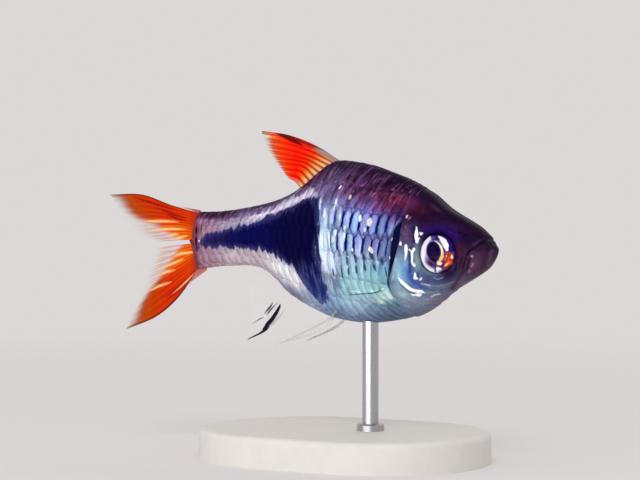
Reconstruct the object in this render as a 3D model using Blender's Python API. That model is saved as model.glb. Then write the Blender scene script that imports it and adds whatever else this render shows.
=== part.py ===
"""Harlequin rasbora, a grown fish 45 mm long, as a still model on a small display stand.

Sizes are in millimetres in the fish's own frame: X runs from the root of the tail fin (0) to the
snout, Y to the fish's left, Z up. MM and in_row turn them into metres in the model's frame, whose
origin is on the table under the middle of the fish.
"""

import math

import bmesh
import bpy
from mathutils import Matrix, Vector

MM = 0.001
GAP = 0.3  # clearance between pieces that touch

# The fish
STANDARD_LENGTH = 34.0  # root of the tail fin to the tip of the lower jaw
TAIL_REACH = 11.5  # tail fin behind its root
SNOUT_TIP_Z = -0.9
SNOUT_ROUND = 1.3  # length of the rounded end of the snout

# Side outline as (distance from the tail fin's root, height)
BACK = [
    (0.0, 3.05), (3.0, 3.1), (7.0, 3.6), (10.0, 4.3), (12.3, 5.35), (14.5, 6.95), (16.0, 7.85),
    (17.6, 8.0), (21.0, 7.35), (24.5, 6.15), (26.7, 4.95), (28.9, 3.15), (31.3, 1.78), (32.5, 0.98),
    (33.2, 0.15), (34.0, -0.5),
]
BELLY = [
    (0.0, -3.2), (1.5, -2.95), (4.2, -2.75), (7.4, -2.85), (9.4, -4.0), (11.0, -5.45), (13.5, -6.8),
    (16.6, -7.9), (20.8, -8.25), (25.0, -7.6), (27.2, -6.6), (29.7, -4.75), (32.4, -3.15), (34.0, -2.0),
]
HALF_WIDTH = [
    (0.0, 0.75), (2.0, 0.95), (5.0, 1.3), (9.0, 1.85), (12.0, 2.4), (15.0, 2.95), (19.0, 3.35),
    (23.0, 3.3), (26.0, 3.05), (29.0, 2.7), (31.0, 2.2), (32.8, 1.65), (34.0, 1.2),
]
WIDEST_HEIGHT = [(0.0, 0.0), (8.0, 0.3), (16.0, 0.2), (23.0, -0.8), (29.0, -0.9), (34.0, SNOUT_TIP_Z)]
# Power of the cosine that sets how full each section is: under 1 is full, over 1 is lean
BACK_LEANNESS = [(0.0, 1.0), (12.0, 1.15), (18.0, 1.15), (24.0, 1.0), (28.0, 0.75), (34.0, 0.85)]
BELLY_LEANNESS = [(0.0, 1.0), (12.0, 1.1), (18.0, 0.95), (24.0, 0.85), (34.0, 0.8)]
RELIEF_FADE = 0.5  # power of the cosine by which lips and rims fade towards the back and the belly
AROUND = 36
TRUNK_STEP = 1.15
HEAD_STEP = 0.55
SNOUT_STEPS = 6
SHARP_EDGE = math.radians(40)
SEARCH_STEP = math.radians(0.5)

# The head
EYE_CENTRE = (28.84, 2.35, -1.25)
EYE_RADIUS = 2.0
EYE_BACK = 1.15  # depth of the eyeball behind its rim
EYE_BACK_RADIUS = 1.6  # radius of its flat back
EYE_BACK_ROUND = 0.46  # height of the slope from its back to its side
EYE_BULGE = 0.62
EYE_SIDES = 24
EYE_DOME_STEPS = 5
EYE_FORWARD = math.radians(8)
EYE_UP = math.radians(4)
ORBIT_RIM = 0.16
ORBIT_WIDTH = 0.5
LIP_HEIGHT = 0.2
LIP_WIDTH = 0.34
LIPS_END = 30.6  # the lips and the mouth lie ahead of this station
MOUTH_LINE = [(35.2, 1.6), (33.25, 0.1), (32.5, -0.65), (31.65, -1.4)]
MOUTH_OPEN = 0.105  # each jaw stands back from the mouth's line by this, along and across
JAW_BACK_LINE = [(31.4, -2.3), (30.85, -3.5), (30.1, -4.4), (29.6, -6.4)]
NOSTRILS = [(31.45, 0.42), (30.95, 0.66)]
NOSTRIL_RADIUS = 0.22

# Gill opening, from the nape to the throat, and the front edge of the gill cover
GILL_LINE = [
    (26.8, 8.5), (25.9, 4.6), (25.0, 2.1), (24.2, 0.5), (23.8, -1.4), (23.75, -3.4), (24.0, -4.9),
    (24.9, -6.2), (26.3, -8.2),
]
COVER_FRONT = [
    (25.35, 1.7), (25.6, 0.6), (25.65, -1.2), (25.6, -2.7), (26.1, -3.9), (27.1, -4.7), (28.4, -5.1),
]
COVER_FRONT_LOW = (28.8, -7.4)
COVER_THICK = 0.75
COVER_PROUD = 0.2
COVER_FROM_MIDLINE = 0.6
COVER_FRONT_RISE = 0.3  # share of its letting out by which the cover's front also moves up
BED_BEHIND = 1.0  # the bed of a gill cover is cut this far past the cover's rear edge
FINE_RINGS_BEHIND = 1.0  # the head's fine rings start this far behind the gill opening

STALK_CUT_X = 7.0

# Fins: half of the plate's thickness on a ray, between two rays, at the root and at the tip
RAY_HALF = 0.33
WEB_HALF = 0.25
ROOT_HALF = 0.38
TIP_HALF = 0.16
ROOT_SHARE = 0.25  # share of a ray over which the plate thins from its root
WEB_REACH = 0.97  # the web between two rays ends a little short of their tips
TAIL_SWEEP = 0.8  # the tail fin's tips bend this far to the fish's left
# Where a fin's root starts and ends, and the points that some of its rays run through, first ray to last
DORSAL_ROOT = (16.95, 12.35)
DORSAL_RAYS = [
    [(14.0, 9.5), (10.9, 10.62), (7.75, 11.12)],
    [(13.2, 8.35), (10.8, 8.95), (8.3, 9.4)],
    [(12.6, 7.35), (11.1, 7.6), (9.6, 7.75)],
    [(11.75, 5.75), (11.2, 5.9), (10.6, 6.0)],
]
ANAL_ROOT = (11.3, 7.7)
ANAL_RAYS = [
    [(9.9, -7.75), (8.2, -9.25), (5.95, -10.25)],
    [(9.0, -6.7), (7.8, -7.85), (6.3, -8.7)],
    [(8.2, -5.2), (7.3, -6.2), (6.3, -6.9)],
    [(7.2, -3.8), (6.6, -4.3), (6.0, -4.7)],
]
UPPER_TAIL_ROOT = (2.85, 0.05)
UPPER_TAIL_RAYS = [
    [(-3.6, 3.68), (-7.6, 4.85), (-11.5, 4.85)],
    [(-3.3, 2.75), (-6.7, 3.15), (-9.9, 3.0)],
    [(-3.0, 1.85), (-5.8, 1.9), (-8.5, 1.6)],
    [(-2.5, 0.85), (-5.0, 0.75), (-7.2, 0.45)],
    [(-1.8, 0.0), (-3.6, -0.1), (-5.3, -0.2)],
]
LOWER_TAIL_ROOT = (-3.0, -0.3)
LOWER_TAIL_RAYS = [
    [(-2.6, -5.95), (-5.6, -8.1), (-9.25, -9.6)],
    [(-2.8, -4.25), (-5.6, -6.05), (-8.15, -7.4)],
    [(-2.5, -2.9), (-5.0, -4.15), (-7.2, -5.1)],
    [(-2.2, -1.65), (-4.3, -2.35), (-6.3, -2.95)],
    [(-1.8, -0.45), (-3.6, -0.6), (-5.3, -0.75)],
]
# The paired fins' roots are (station, angle round the body in degrees)
PECTORAL_ROOT = [(23.3, -33), (22.9, -43)]
PECTORAL_RAYS = [
    [(22.6, 3.35, -5.0), (20.6, 3.45, -5.3), (18.2, 3.35, -5.65)],
    [(22.3, 3.15, -5.55), (20.4, 3.2, -6.1), (18.3, 3.05, -6.6)],
    [(22.1, 2.95, -6.05), (21.0, 2.85, -6.8), (19.9, 2.7, -7.5)],
]
PELVIC_ROOT = [(17.4, -62), (16.5, -77)]
PELVIC_RAYS = [
    [(16.4, 2.0, -7.95), (13.8, 2.6, -9.3), (11.1, 2.95, -10.45)],
    [(16.2, 1.45, -8.4), (14.2, 1.75, -9.35), (12.0, 1.85, -10.15)],
    [(16.1, 0.9, -8.65), (14.9, 0.8, -9.2), (13.7, 0.7, -9.6)],
]

# The stand
STAND_CLEAR = 10.5  # belly above the base
BASE_LENGTH = 30.0
BASE_DEPTH = 22.0
BASE_THICK = 3.0
BASE_BEVEL = 0.6
BASE_X = 17.25
BASE_END_SIDES = 20
ROD_X = 20.3
ROD_RADIUS = 0.8
ROD_SIDES = 16
BEVEL_STEPS = 2

# Cutters reach this far past the body
BEYOND = 4.0
AHEAD = STANDARD_LENGTH + BEYOND
ABOVE = max(z for _, z in BACK) + BEYOND
BELOW = min(z for _, z in BELLY) - BEYOND
WIDE = max(y for _, y in HALF_WIDTH) + BEYOND

MIDDLE_X = (STANDARD_LENGTH - TAIL_REACH) / 2
BELLY_LOW = min(z for _, z in BELLY)
LIFT = BASE_THICK + STAND_CLEAR - BELLY_LOW


def clear_scene():
    for old in list(bpy.data.objects):
        bpy.data.objects.remove(old)


def material(name, colour, roughness, metallic=0.0):
    made = bpy.data.materials.new(name)
    made.use_nodes = True
    shader = made.node_tree.nodes["Principled BSDF"]
    shader.inputs["Base Color"].default_value = (*colour, 1.0)
    shader.inputs["Roughness"].default_value = roughness
    shader.inputs["Metallic"].default_value = metallic
    made.diffuse_color = (*colour, 1.0)
    return made


def in_row(point):
    """A point of the fish's frame, in metres in the model's frame."""
    return Vector(((point[0] - MIDDLE_X) * MM, point[1] * MM, (point[2] + LIFT) * MM))


def mesh_object(name, bm, look):
    bmesh.ops.recalc_face_normals(bm, faces=bm.faces)
    mesh = bpy.data.meshes.new(name)
    bm.to_mesh(mesh)
    bm.free()
    made = bpy.data.objects.new(name, mesh)
    bpy.context.scene.collection.objects.link(made)
    if look:
        mesh.materials.append(look)
    return made


# Curves

def smooth(points, x):
    """Value at x of the smooth curve through points, which are (x, value) with x rising."""
    x = min(max(x, points[0][0]), points[-1][0])
    i = next(k for k in range(len(points) - 1) if x <= points[k + 1][0])
    slopes = []
    for k in (i, i + 1):
        low, high = max(k - 1, 0), min(k + 1, len(points) - 1)
        slopes.append((points[high][1] - points[low][1]) / (points[high][0] - points[low][0]))
    (x0, v0), (x1, v1) = points[i], points[i + 1]
    span = x1 - x0
    t = (x - x0) / span
    return (
        v0 * (1 + 2 * t) * (1 - t) ** 2
        + v1 * t * t * (3 - 2 * t)
        + span * t * (1 - t) * (slopes[0] * (1 - t) - slopes[1] * t)
    )


def along(points, t):
    """Point at share t of the smooth curve through points of any size, evenly spread in t."""
    last = len(points) - 1
    curves = [[(k / last, p[axis]) for k, p in enumerate(points)] for axis in range(len(points[0]))]
    return Vector([smooth(curve, t) for curve in curves])


def sampled(points, count):
    return [along(points, k / (count - 1)) for k in range(count)]


def distance_to_line(x, z, line):
    """Distance in side view from (x, z) to a line of straight pieces."""
    here = Vector((x, z))
    found = []
    for a, b in zip(line, line[1:]):
        a, b = Vector(a), Vector(b)
        share = min(max((here - a).dot(b - a) / (b - a).length_squared, 0.0), 1.0)
        found.append((a + (b - a) * share - here).length)
    return min(found)


# Body

def relief(x, z):
    """Height of the lips and of the rim round the eye above the plain body."""
    lips = 0.0
    if x > LIPS_END:
        off = distance_to_line(x, z, MOUTH_LINE) / LIP_WIDTH
        lips = LIP_HEIGHT * math.exp(-off * off)
    ring = (math.hypot(x - EYE_CENTRE[0], z - EYE_CENTRE[2]) - EYE_RADIUS - GAP) / ORBIT_WIDTH
    return lips + ORBIT_RIM * math.exp(-ring * ring)


def body_point(x, angle, grow=0.0):
    """Point of the body's surface at a station and an angle, 0 at the left flank and 90 degrees at the back.
    grow moves the surface outwards."""
    round_from = STANDARD_LENGTH - SNOUT_ROUND
    cap = 1.0
    if x > round_from:
        cap = math.sqrt(max(0.0, 1.0 - ((x - round_from) / SNOUT_ROUND) ** 2))
    middle = smooth(WIDEST_HEIGHT, x)
    middle = SNOUT_TIP_Z + (middle - SNOUT_TIP_Z) * cap
    top = SNOUT_TIP_Z + (smooth(BACK, x) - SNOUT_TIP_Z) * cap + grow
    bottom = SNOUT_TIP_Z + (smooth(BELLY, x) - SNOUT_TIP_Z) * cap - grow
    half_width = smooth(HALF_WIDTH, x) * cap + grow
    c, s = math.cos(angle), math.sin(angle)
    leanness = smooth(BACK_LEANNESS if s > 0 else BELLY_LEANNESS, x)
    y = half_width * abs(c) ** leanness
    z = middle + s * (top - middle if s > 0 else middle - bottom)
    raised = relief(x, z) * abs(c) ** RELIEF_FADE * cap
    return Vector((x, math.copysign(y + raised, c), z))


def stations():
    """Distances from the tail fin's root at which the body has a ring."""
    head_start = min(x for x, _ in GILL_LINE) - FINE_RINGS_BEHIND
    trunk_count = round(head_start / TRUNK_STEP)
    head_end = STANDARD_LENGTH - SNOUT_ROUND
    head_count = round((head_end - head_start) / HEAD_STEP)
    found = [head_start * k / trunk_count for k in range(trunk_count)]
    found += [head_start + (head_end - head_start) * k / head_count for k in range(head_count)]
    found += [head_end + SNOUT_ROUND * math.sin(math.pi / 2 * k / SNOUT_STEPS) for k in range(SNOUT_STEPS)]
    return found


def body_mesh(name, look=None, grow=0.0):
    """The whole body as one closed loft."""
    bm = bmesh.new()
    rings = []
    for x in stations():
        ring = [bm.verts.new(in_row(body_point(x, math.tau * k / AROUND, grow))) for k in range(AROUND)]
        rings.append(ring)
    tip = bm.verts.new(in_row((STANDARD_LENGTH + grow, 0.0, SNOUT_TIP_Z)))
    bm.faces.new(rings[0])
    for near, far in zip(rings, rings[1:]):
        for k in range(AROUND):
            after = (k + 1) % AROUND
            bm.faces.new((near[k], near[after], far[after], far[k]))
    for k in range(AROUND):
        bm.faces.new((rings[-1][k], rings[-1][(k + 1) % AROUND], tip))
    return mesh_object(name, bm, look)


def extruded(name, outline, y_low, y_high):
    """A solid that fills an outline of the side view from y_low to y_high, for cutting."""
    bm = bmesh.new()
    face = bm.faces.new([bm.verts.new(in_row((p[0], y_low, p[1]))) for p in outline])
    moved = bmesh.ops.extrude_face_region(bm, geom=[face])["geom"]
    up = Vector((0.0, (y_high - y_low) * MM, 0.0))
    bmesh.ops.translate(bm, verts=[g for g in moved if isinstance(g, bmesh.types.BMVert)], vec=up)
    return mesh_object(name, bm, None)


def apply_boolean(target, cutter, operation):
    """Cuts target with cutter, or keeps only what lies inside it, and uses the cutter up."""
    step = target.modifiers.new(operation, "BOOLEAN")
    step.operation = operation
    step.object = cutter
    step.solver = "EXACT"
    bpy.context.view_layer.update()
    mesh = bpy.data.meshes.new_from_object(target.evaluated_get(bpy.context.evaluated_depsgraph_get()))
    target.modifiers.remove(step)
    target.data = mesh
    bpy.data.objects.remove(cutter)


def keep_largest(target):
    """Keeps only the largest closed surface of a mesh that was cut."""
    bm = bmesh.new()
    bm.from_mesh(target.data)
    left = set(bm.verts)
    islands = []
    while left:
        island = set()
        front = [left.pop()]
        while front:
            vert = front.pop()
            island.add(vert)
            near = {edge.other_vert(vert) for edge in vert.link_edges} & left
            left -= near
            front.extend(near)
        islands.append(island)
    islands.sort(key=len)
    for island in islands[:-1]:
        bmesh.ops.delete(bm, geom=list(island), context="VERTS")
    bm.to_mesh(target.data)
    bm.free()


def finish_flesh(target):
    keep_largest(target)
    target.data.shade_smooth()
    target.data.set_sharp_from_angle(angle=SHARP_EDGE)


def shifted(line, dx, dz):
    return [(p[0] + dx, p[1] + dz) for p in line]


gill_curve = [tuple(p) for p in sampled(GILL_LINE, 22)]
mouth_curve = [tuple(p) for p in sampled(MOUTH_LINE, 9)]
jaw_back_curve = [tuple(p) for p in sampled([MOUTH_LINE[-1], *JAW_BACK_LINE], 9)][1:]
cover_front_curve = [tuple(p) for p in sampled(COVER_FRONT, 13)]


def eye_frame(side):
    """Turns a point that is measured from the eye's rim, with Z out of the head, into the fish's frame."""
    x, y, z = EYE_CENTRE
    out = Vector((math.sin(EYE_FORWARD), side * math.cos(EYE_FORWARD), math.sin(EYE_UP))).normalized()
    ahead = Vector((1.0, 0.0, 0.0))
    ahead = (ahead - out * ahead.dot(out)).normalized()
    up = ahead.cross(out) * -side
    turn = Matrix((ahead, up, out)).transposed()
    centre = Vector((x, side * y, z))
    return lambda p: centre + turn @ Vector(p)


def turned(name, profile, place, sides, look=None):
    """A solid turned from a profile of (radius, height) that starts and ends on the axis."""
    bm = bmesh.new()
    first = bm.verts.new(in_row(place((0.0, 0.0, profile[0][1]))))
    last = bm.verts.new(in_row(place((0.0, 0.0, profile[-1][1]))))
    rings = []
    for radius, height in profile[1:-1]:
        ring = []
        for k in range(sides):
            turn = math.tau * k / sides
            point = (radius * math.cos(turn), radius * math.sin(turn), height)
            ring.append(bm.verts.new(in_row(place(point))))
        rings.append(ring)
    for k in range(sides):
        after = (k + 1) % sides
        bm.faces.new((first, rings[0][after], rings[0][k]))
        bm.faces.new((last, rings[-1][k], rings[-1][after]))
        for near, far in zip(rings, rings[1:]):
            bm.faces.new((near[k], near[after], far[after], far[k]))
    return mesh_object(name, bm, look)


def eye(name, side, look):
    """An eyeball with a flat back in its socket and a low dome outside."""
    profile = [(0.0, -EYE_BACK), (EYE_BACK_RADIUS, -EYE_BACK), (EYE_RADIUS, EYE_BACK_ROUND - EYE_BACK)]
    for k in range(EYE_DOME_STEPS):
        rise = math.pi / 2 * k / EYE_DOME_STEPS
        profile.append((EYE_RADIUS * math.cos(rise), EYE_BULGE * math.sin(rise)))
    profile.append((0.0, EYE_BULGE))
    made = turned(name, profile, eye_frame(side), EYE_SIDES, look)
    made.data.shade_smooth()
    return made


def cut_socket(head, side):
    radius = EYE_RADIUS + GAP
    floor = -EYE_BACK - GAP
    profile = [(0.0, floor), (radius, floor), (radius, BEYOND), (0.0, BEYOND)]
    apply_boolean(head, turned("socket", profile, eye_frame(side), EYE_SIDES), "DIFFERENCE")


def cut_nostrils(head, side):
    for x, z in NOSTRILS:
        angle = 0.0
        while body_point(x, angle)[2] < z:
            angle += SEARCH_STEP
        skin = body_point(x, angle)
        bm = bmesh.new()
        bmesh.ops.create_icosphere(bm, subdivisions=2, radius=NOSTRIL_RADIUS * MM)
        bmesh.ops.translate(bm, verts=bm.verts, vec=in_row((skin[0], side * skin[1], skin[2])))
        apply_boolean(head, mesh_object("pit", bm, None), "DIFFERENCE")


def cover_outline(spread):
    """Outline of a gill cover in side view, let out by spread at its front."""
    rear = [p for p in gill_curve if p[1] < COVER_FRONT[0][1]]
    front = shifted(cover_front_curve, spread, spread * COVER_FRONT_RISE)
    low = (COVER_FRONT_LOW[0] + spread, COVER_FRONT_LOW[1])
    return [*front, low, *reversed(rear)]


def gill_cover(name, side, look):
    """The bony flap over the gills, a curved plate that stands a little proud of the flank behind it."""
    made = body_mesh(name, look, COVER_PROUD)
    reach = sorted((side * COVER_FROM_MIDLINE, side * WIDE))
    outline = [(x + (GAP / 2 if z < COVER_FRONT[0][1] else 0.0), z) for x, z in cover_outline(0.0)]
    apply_boolean(made, extruded("outline", outline, *reach), "INTERSECT")
    apply_boolean(made, body_mesh("core", None, -COVER_THICK), "DIFFERENCE")
    finish_flesh(made)
    return made


def head(look):
    """Skull, upper jaw and cheeks, with sockets for the eyes and a shallow bed under each gill cover."""
    made = body_mesh("head", look)
    upper_mouth = shifted(mouth_curve, -MOUTH_OPEN, MOUTH_OPEN)
    behind_jaw = shifted(jaw_back_curve, -GAP / 2, 0.0)
    rear = shifted(gill_curve, GAP / 2, 0.0)
    outline = [(AHEAD, ABOVE), *upper_mouth, *behind_jaw, (JAW_BACK_LINE[-1][0], BELOW), *reversed(rear)]
    apply_boolean(made, extruded("outline", outline, -WIDE, WIDE), "INTERSECT")
    for side in (-1, 1):
        reach = sorted((side * (COVER_FROM_MIDLINE - GAP), side * WIDE))
        bed = [(x - (BED_BEHIND if (x, z) in gill_curve else 0.0), z) for x, z in cover_outline(GAP)]
        bed[0] = (bed[0][0], bed[0][1] + GAP)
        bed[-1] = (bed[-1][0], bed[-1][1] + GAP)
        cutter = extruded("bed", bed, *reach)
        apply_boolean(cutter, body_mesh("core", None, -COVER_THICK - GAP), "DIFFERENCE")
        apply_boolean(made, cutter, "DIFFERENCE")
        cut_socket(made, side)
        cut_nostrils(made, side)
    finish_flesh(made)
    return made


def lower_jaw(look):
    """The lower jaw, which reaches past the upper one, with the mouth as the cut between them."""
    made = body_mesh("lower_jaw", look)
    under_mouth = shifted(mouth_curve, MOUTH_OPEN, -MOUTH_OPEN)
    front_of_back = shifted(jaw_back_curve, GAP / 2, 0.0)
    outline = [(AHEAD, MOUTH_LINE[0][1]), *under_mouth, *front_of_back, (AHEAD, BELOW)]
    apply_boolean(made, extruded("outline", outline, -WIDE, WIDE), "INTERSECT")
    finish_flesh(made)
    return made


def torso(look):
    made = body_mesh("torso", look)
    rear = STALK_CUT_X + GAP / 2
    outline = [(rear, ABOVE), *shifted(gill_curve, -GAP / 2, 0.0), (rear, BELOW)]
    apply_boolean(made, extruded("outline", outline, -WIDE, WIDE), "INTERSECT")
    finish_flesh(made)
    return made


def tail_stalk(look):
    made = body_mesh("tail_stalk", look)
    front = STALK_CUT_X - GAP / 2
    outline = [(-BEYOND, ABOVE), (front, ABOVE), (front, BELOW), (-BEYOND, BELOW)]
    apply_boolean(made, extruded("outline", outline, -WIDE, WIDE), "INTERSECT")
    finish_flesh(made)
    return made


# Fins

def fin(name, look, base, guides, rays, rows):
    """A fin as one plate with its rays raised as ridges on both faces.
    base gives a ray's root for a share from the first ray to the last. guides holds, for some rays spread
    evenly from the first to the last, the points that the ray runs through after its root."""
    columns = 2 * rays - 1
    paths = []
    for c in range(columns):
        u = c / (columns - 1)
        points = [base(u)] + [along(step, u) for step in zip(*guides)]
        reach = 1.0 if c % 2 == 0 else WEB_REACH
        paths.append([along(points, reach * r / rows) for r in range(rows + 1)])
    bm = bmesh.new()
    upper, lower = [], []
    for c in range(columns):
        above, below = [], []
        for r in range(rows + 1):
            across = paths[min(c + 1, columns - 1)][r] - paths[max(c - 1, 0)][r]
            down = paths[c][min(r + 1, rows)] - paths[c][max(r - 1, 0)]
            v = r / rows
            half = RAY_HALF if c % 2 == 0 else WEB_HALF
            half = ROOT_HALF + (half - ROOT_HALF) * min(1.0, v / ROOT_SHARE)
            half += (TIP_HALF - half) * v ** 3
            out = across.cross(down).normalized() * half
            above.append(bm.verts.new(in_row(paths[c][r] + out)))
            below.append(bm.verts.new(in_row(paths[c][r] - out)))
        upper.append(above)
        lower.append(below)

    def quad(a, b, c, d):
        bm.faces.new((a, b, c))
        bm.faces.new((a, c, d))

    for c in range(columns - 1):
        for r in range(rows):
            for grid in (upper, lower):
                quad(grid[c][r], grid[c + 1][r], grid[c + 1][r + 1], grid[c][r + 1])
        for r in (0, rows):
            quad(upper[c][r], upper[c + 1][r], lower[c + 1][r], lower[c][r])
    for r in range(rows):
        for c in (0, columns - 1):
            quad(upper[c][r], upper[c][r + 1], lower[c][r + 1], lower[c][r])
    return mesh_object(name, bm, look)


def median(guides, sweep=0.0):
    """Guides given in side view as (x, z), placed on the fish's middle plane or swept off it."""
    return [[Vector((x, sweep * (x / TAIL_REACH) ** 2, z)) for x, z in guide] for guide in guides]


def on_ridge(x_front, x_rear, outline, side):
    """Root line of a fin on the back (side 1) or the belly (side -1)."""
    def place(u):
        x = x_front + (x_rear - x_front) * u
        return Vector((x, 0.0, smooth(outline, x) + side * GAP))
    return place


def dorsal_fin(look):
    fin("dorsal_fin", look, on_ridge(*DORSAL_ROOT, BACK, 1), median(DORSAL_RAYS), rays=9, rows=10)


def anal_fin(look):
    fin("anal_fin", look, on_ridge(*ANAL_ROOT, BELLY, -1), median(ANAL_RAYS), rays=8, rows=9)


def tail_fin(name, look, root_z, guides):
    def base(u):
        return Vector((-GAP, 0.0, root_z[0] + (root_z[1] - root_z[0]) * u))

    fin(name, look, base, median(guides, TAIL_SWEEP), rays=10, rows=12)


def paired_fin(name, side, look, roots, guides, rays):
    """A fin that grows out of the flank. roots are the (station, angle) of its first and last ray."""
    def base(u):
        x = roots[0][0] + (roots[1][0] - roots[0][0]) * u
        angle = math.radians(roots[0][1] + (roots[1][1] - roots[0][1]) * u)
        found = body_point(x, angle, GAP)
        return Vector((found[0], side * found[1], found[2]))

    placed = [[Vector((x, side * y, z)) for x, y, z in guide] for guide in guides]
    fin(name, look, base, placed, rays, rows=8)


# The stand

def stand_base(look):
    """A low slab with round ends and a small bevel, flat underneath."""
    bm = bmesh.new()
    corner = BASE_DEPTH / 2
    straight = BASE_LENGTH / 2 - corner
    ring = []
    for end in (1, -1):
        for k in range(BASE_END_SIDES + 1):
            turn = math.pi * (k / BASE_END_SIDES - 0.5)
            x = BASE_X - MIDDLE_X + end * (straight + corner * math.cos(turn))
            ring.append(bm.verts.new((x * MM, end * corner * math.sin(turn) * MM, 0.0)))
    face = bm.faces.new(ring)
    moved = bmesh.ops.extrude_face_region(bm, geom=[face])["geom"]
    tops = [g for g in moved if isinstance(g, bmesh.types.BMVert)]
    bmesh.ops.translate(bm, verts=tops, vec=(0.0, 0.0, BASE_THICK * MM))
    rim = [e for e in bm.edges if all(v in tops for v in e.verts)]
    bmesh.ops.bevel(bm, geom=rim, offset=BASE_BEVEL * MM, segments=BEVEL_STEPS, profile=0.5, affect="EDGES")
    return mesh_object("stand_base", bm, look)


def stand_rod(look):
    """A rod that stands on the base and ends against the belly, its top shaped to the skin."""
    bm = bmesh.new()
    foot, head_end = [], []
    for k in range(ROD_SIDES):
        turn = math.tau * k / ROD_SIDES
        x = ROD_X + ROD_RADIUS * math.cos(turn)
        y = ROD_RADIUS * math.sin(turn)
        angle = math.radians(-90)
        while body_point(x, angle)[1] < abs(y):
            angle += SEARCH_STEP
        belly = body_point(x, angle)[2]
        foot.append(bm.verts.new(in_row((x, y, BASE_THICK + GAP - LIFT))))
        head_end.append(bm.verts.new(in_row((x, y, belly - GAP))))
    centre = bm.verts.new(in_row((ROD_X, 0.0, body_point(ROD_X, -math.pi / 2)[2] - GAP)))
    bm.faces.new(foot)
    for k in range(ROD_SIDES):
        after = (k + 1) % ROD_SIDES
        bm.faces.new((foot[k], foot[after], head_end[after], head_end[k]))
        bm.faces.new((head_end[k], head_end[after], centre))
    return mesh_object("stand_rod", bm, look)


clear_scene()
skin = material("silvery_violet_skin", (0.33, 0.30, 0.45), 0.3, 0.4)
dark_skin = material("dark_head_skin", (0.12, 0.07, 0.16), 0.3, 0.3)
cover_skin = material("blue_gill_cover", (0.35, 0.45, 0.55), 0.25, 0.5)
orange_web = material("orange_fin", (0.85, 0.16, 0.02), 0.4)
clear_web = material("clear_fin", (0.75, 0.70, 0.72), 0.35)
eye_look = material("silver_eye", (0.75, 0.72, 0.78), 0.1, 0.4)
base_look = material("stand_board", (0.83, 0.81, 0.78), 0.5)
rod_look = material("stand_steel", (0.7, 0.7, 0.72), 0.3, 1.0)

head(dark_skin)
lower_jaw(dark_skin)
torso(skin)
tail_stalk(skin)
dorsal_fin(orange_web)
anal_fin(clear_web)
tail_fin("tail_fin_upper", orange_web, UPPER_TAIL_ROOT, UPPER_TAIL_RAYS)
tail_fin("tail_fin_lower", orange_web, LOWER_TAIL_ROOT, LOWER_TAIL_RAYS)
for label, hand in (("left", 1), ("right", -1)):
    gill_cover("gill_cover_" + label, hand, cover_skin)
    eye("eye_" + label, hand, eye_look)
    paired_fin("pectoral_fin_" + label, hand, clear_web, PECTORAL_ROOT, PECTORAL_RAYS, rays=9)
    paired_fin("pelvic_fin_" + label, hand, clear_web, PELVIC_ROOT, PELVIC_RAYS, rays=8)
stand_base(base_look)
stand_rod(rod_look)
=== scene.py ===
import math
from functools import partial
import bpy
import numpy as np
from mathutils import Matrix, Vector


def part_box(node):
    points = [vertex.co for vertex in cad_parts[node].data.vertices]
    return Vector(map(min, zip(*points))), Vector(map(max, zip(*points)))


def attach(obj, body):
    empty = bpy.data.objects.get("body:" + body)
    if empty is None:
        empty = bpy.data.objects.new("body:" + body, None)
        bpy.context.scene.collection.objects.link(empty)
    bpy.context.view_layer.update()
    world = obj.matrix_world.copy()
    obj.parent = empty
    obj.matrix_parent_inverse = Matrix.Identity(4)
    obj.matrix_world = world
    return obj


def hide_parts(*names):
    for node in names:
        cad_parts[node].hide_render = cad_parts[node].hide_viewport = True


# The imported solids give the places. A fish is laid out in its own millimetres: x runs from the root
# of the tail fin to the snout, y to its left, and z up from a line through the eye and the tail.
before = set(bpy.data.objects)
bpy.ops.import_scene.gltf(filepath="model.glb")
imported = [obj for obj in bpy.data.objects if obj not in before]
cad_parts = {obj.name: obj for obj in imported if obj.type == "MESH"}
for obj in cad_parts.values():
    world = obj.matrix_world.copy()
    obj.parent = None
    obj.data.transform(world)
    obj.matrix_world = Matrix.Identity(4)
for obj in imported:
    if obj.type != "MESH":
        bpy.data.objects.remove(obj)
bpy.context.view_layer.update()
MM = 0.001
TAIL_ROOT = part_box("tail_stalk")[0].x / MM
LIFT = 21.75


def in_row(points):
    """Points in the fish's millimetres, as metres in the model's frame."""
    return (np.asarray(points, float) + (TAIL_ROOT, 0.0, LIFT)) * MM


# The camera stands level with the fish, ahead of its right flank, as the photograph was taken.
# A long lens keeps the far side of the tail from shrinking.
CAMERA_LENS = 100.0
CAMERA_SENSOR = 36.0
CAMERA_TURN = math.radians(30)
CAMERA_DISTANCE = 178.0
CAMERA_AIM = (14.56, 0.0, 0.0)

aim = in_row(CAMERA_AIM)
stand_off = np.array((math.sin(CAMERA_TURN), -math.cos(CAMERA_TURN), 0.0)) * CAMERA_DISTANCE * MM
bpy.ops.object.camera_add(location=aim + stand_off, rotation=(math.radians(90), 0.0, CAMERA_TURN))
camera = bpy.context.object
camera.data.lens = CAMERA_LENS
camera.data.sensor_width = CAMERA_SENSOR
camera.data.clip_start = 0.001
bpy.context.scene.camera = camera

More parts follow.
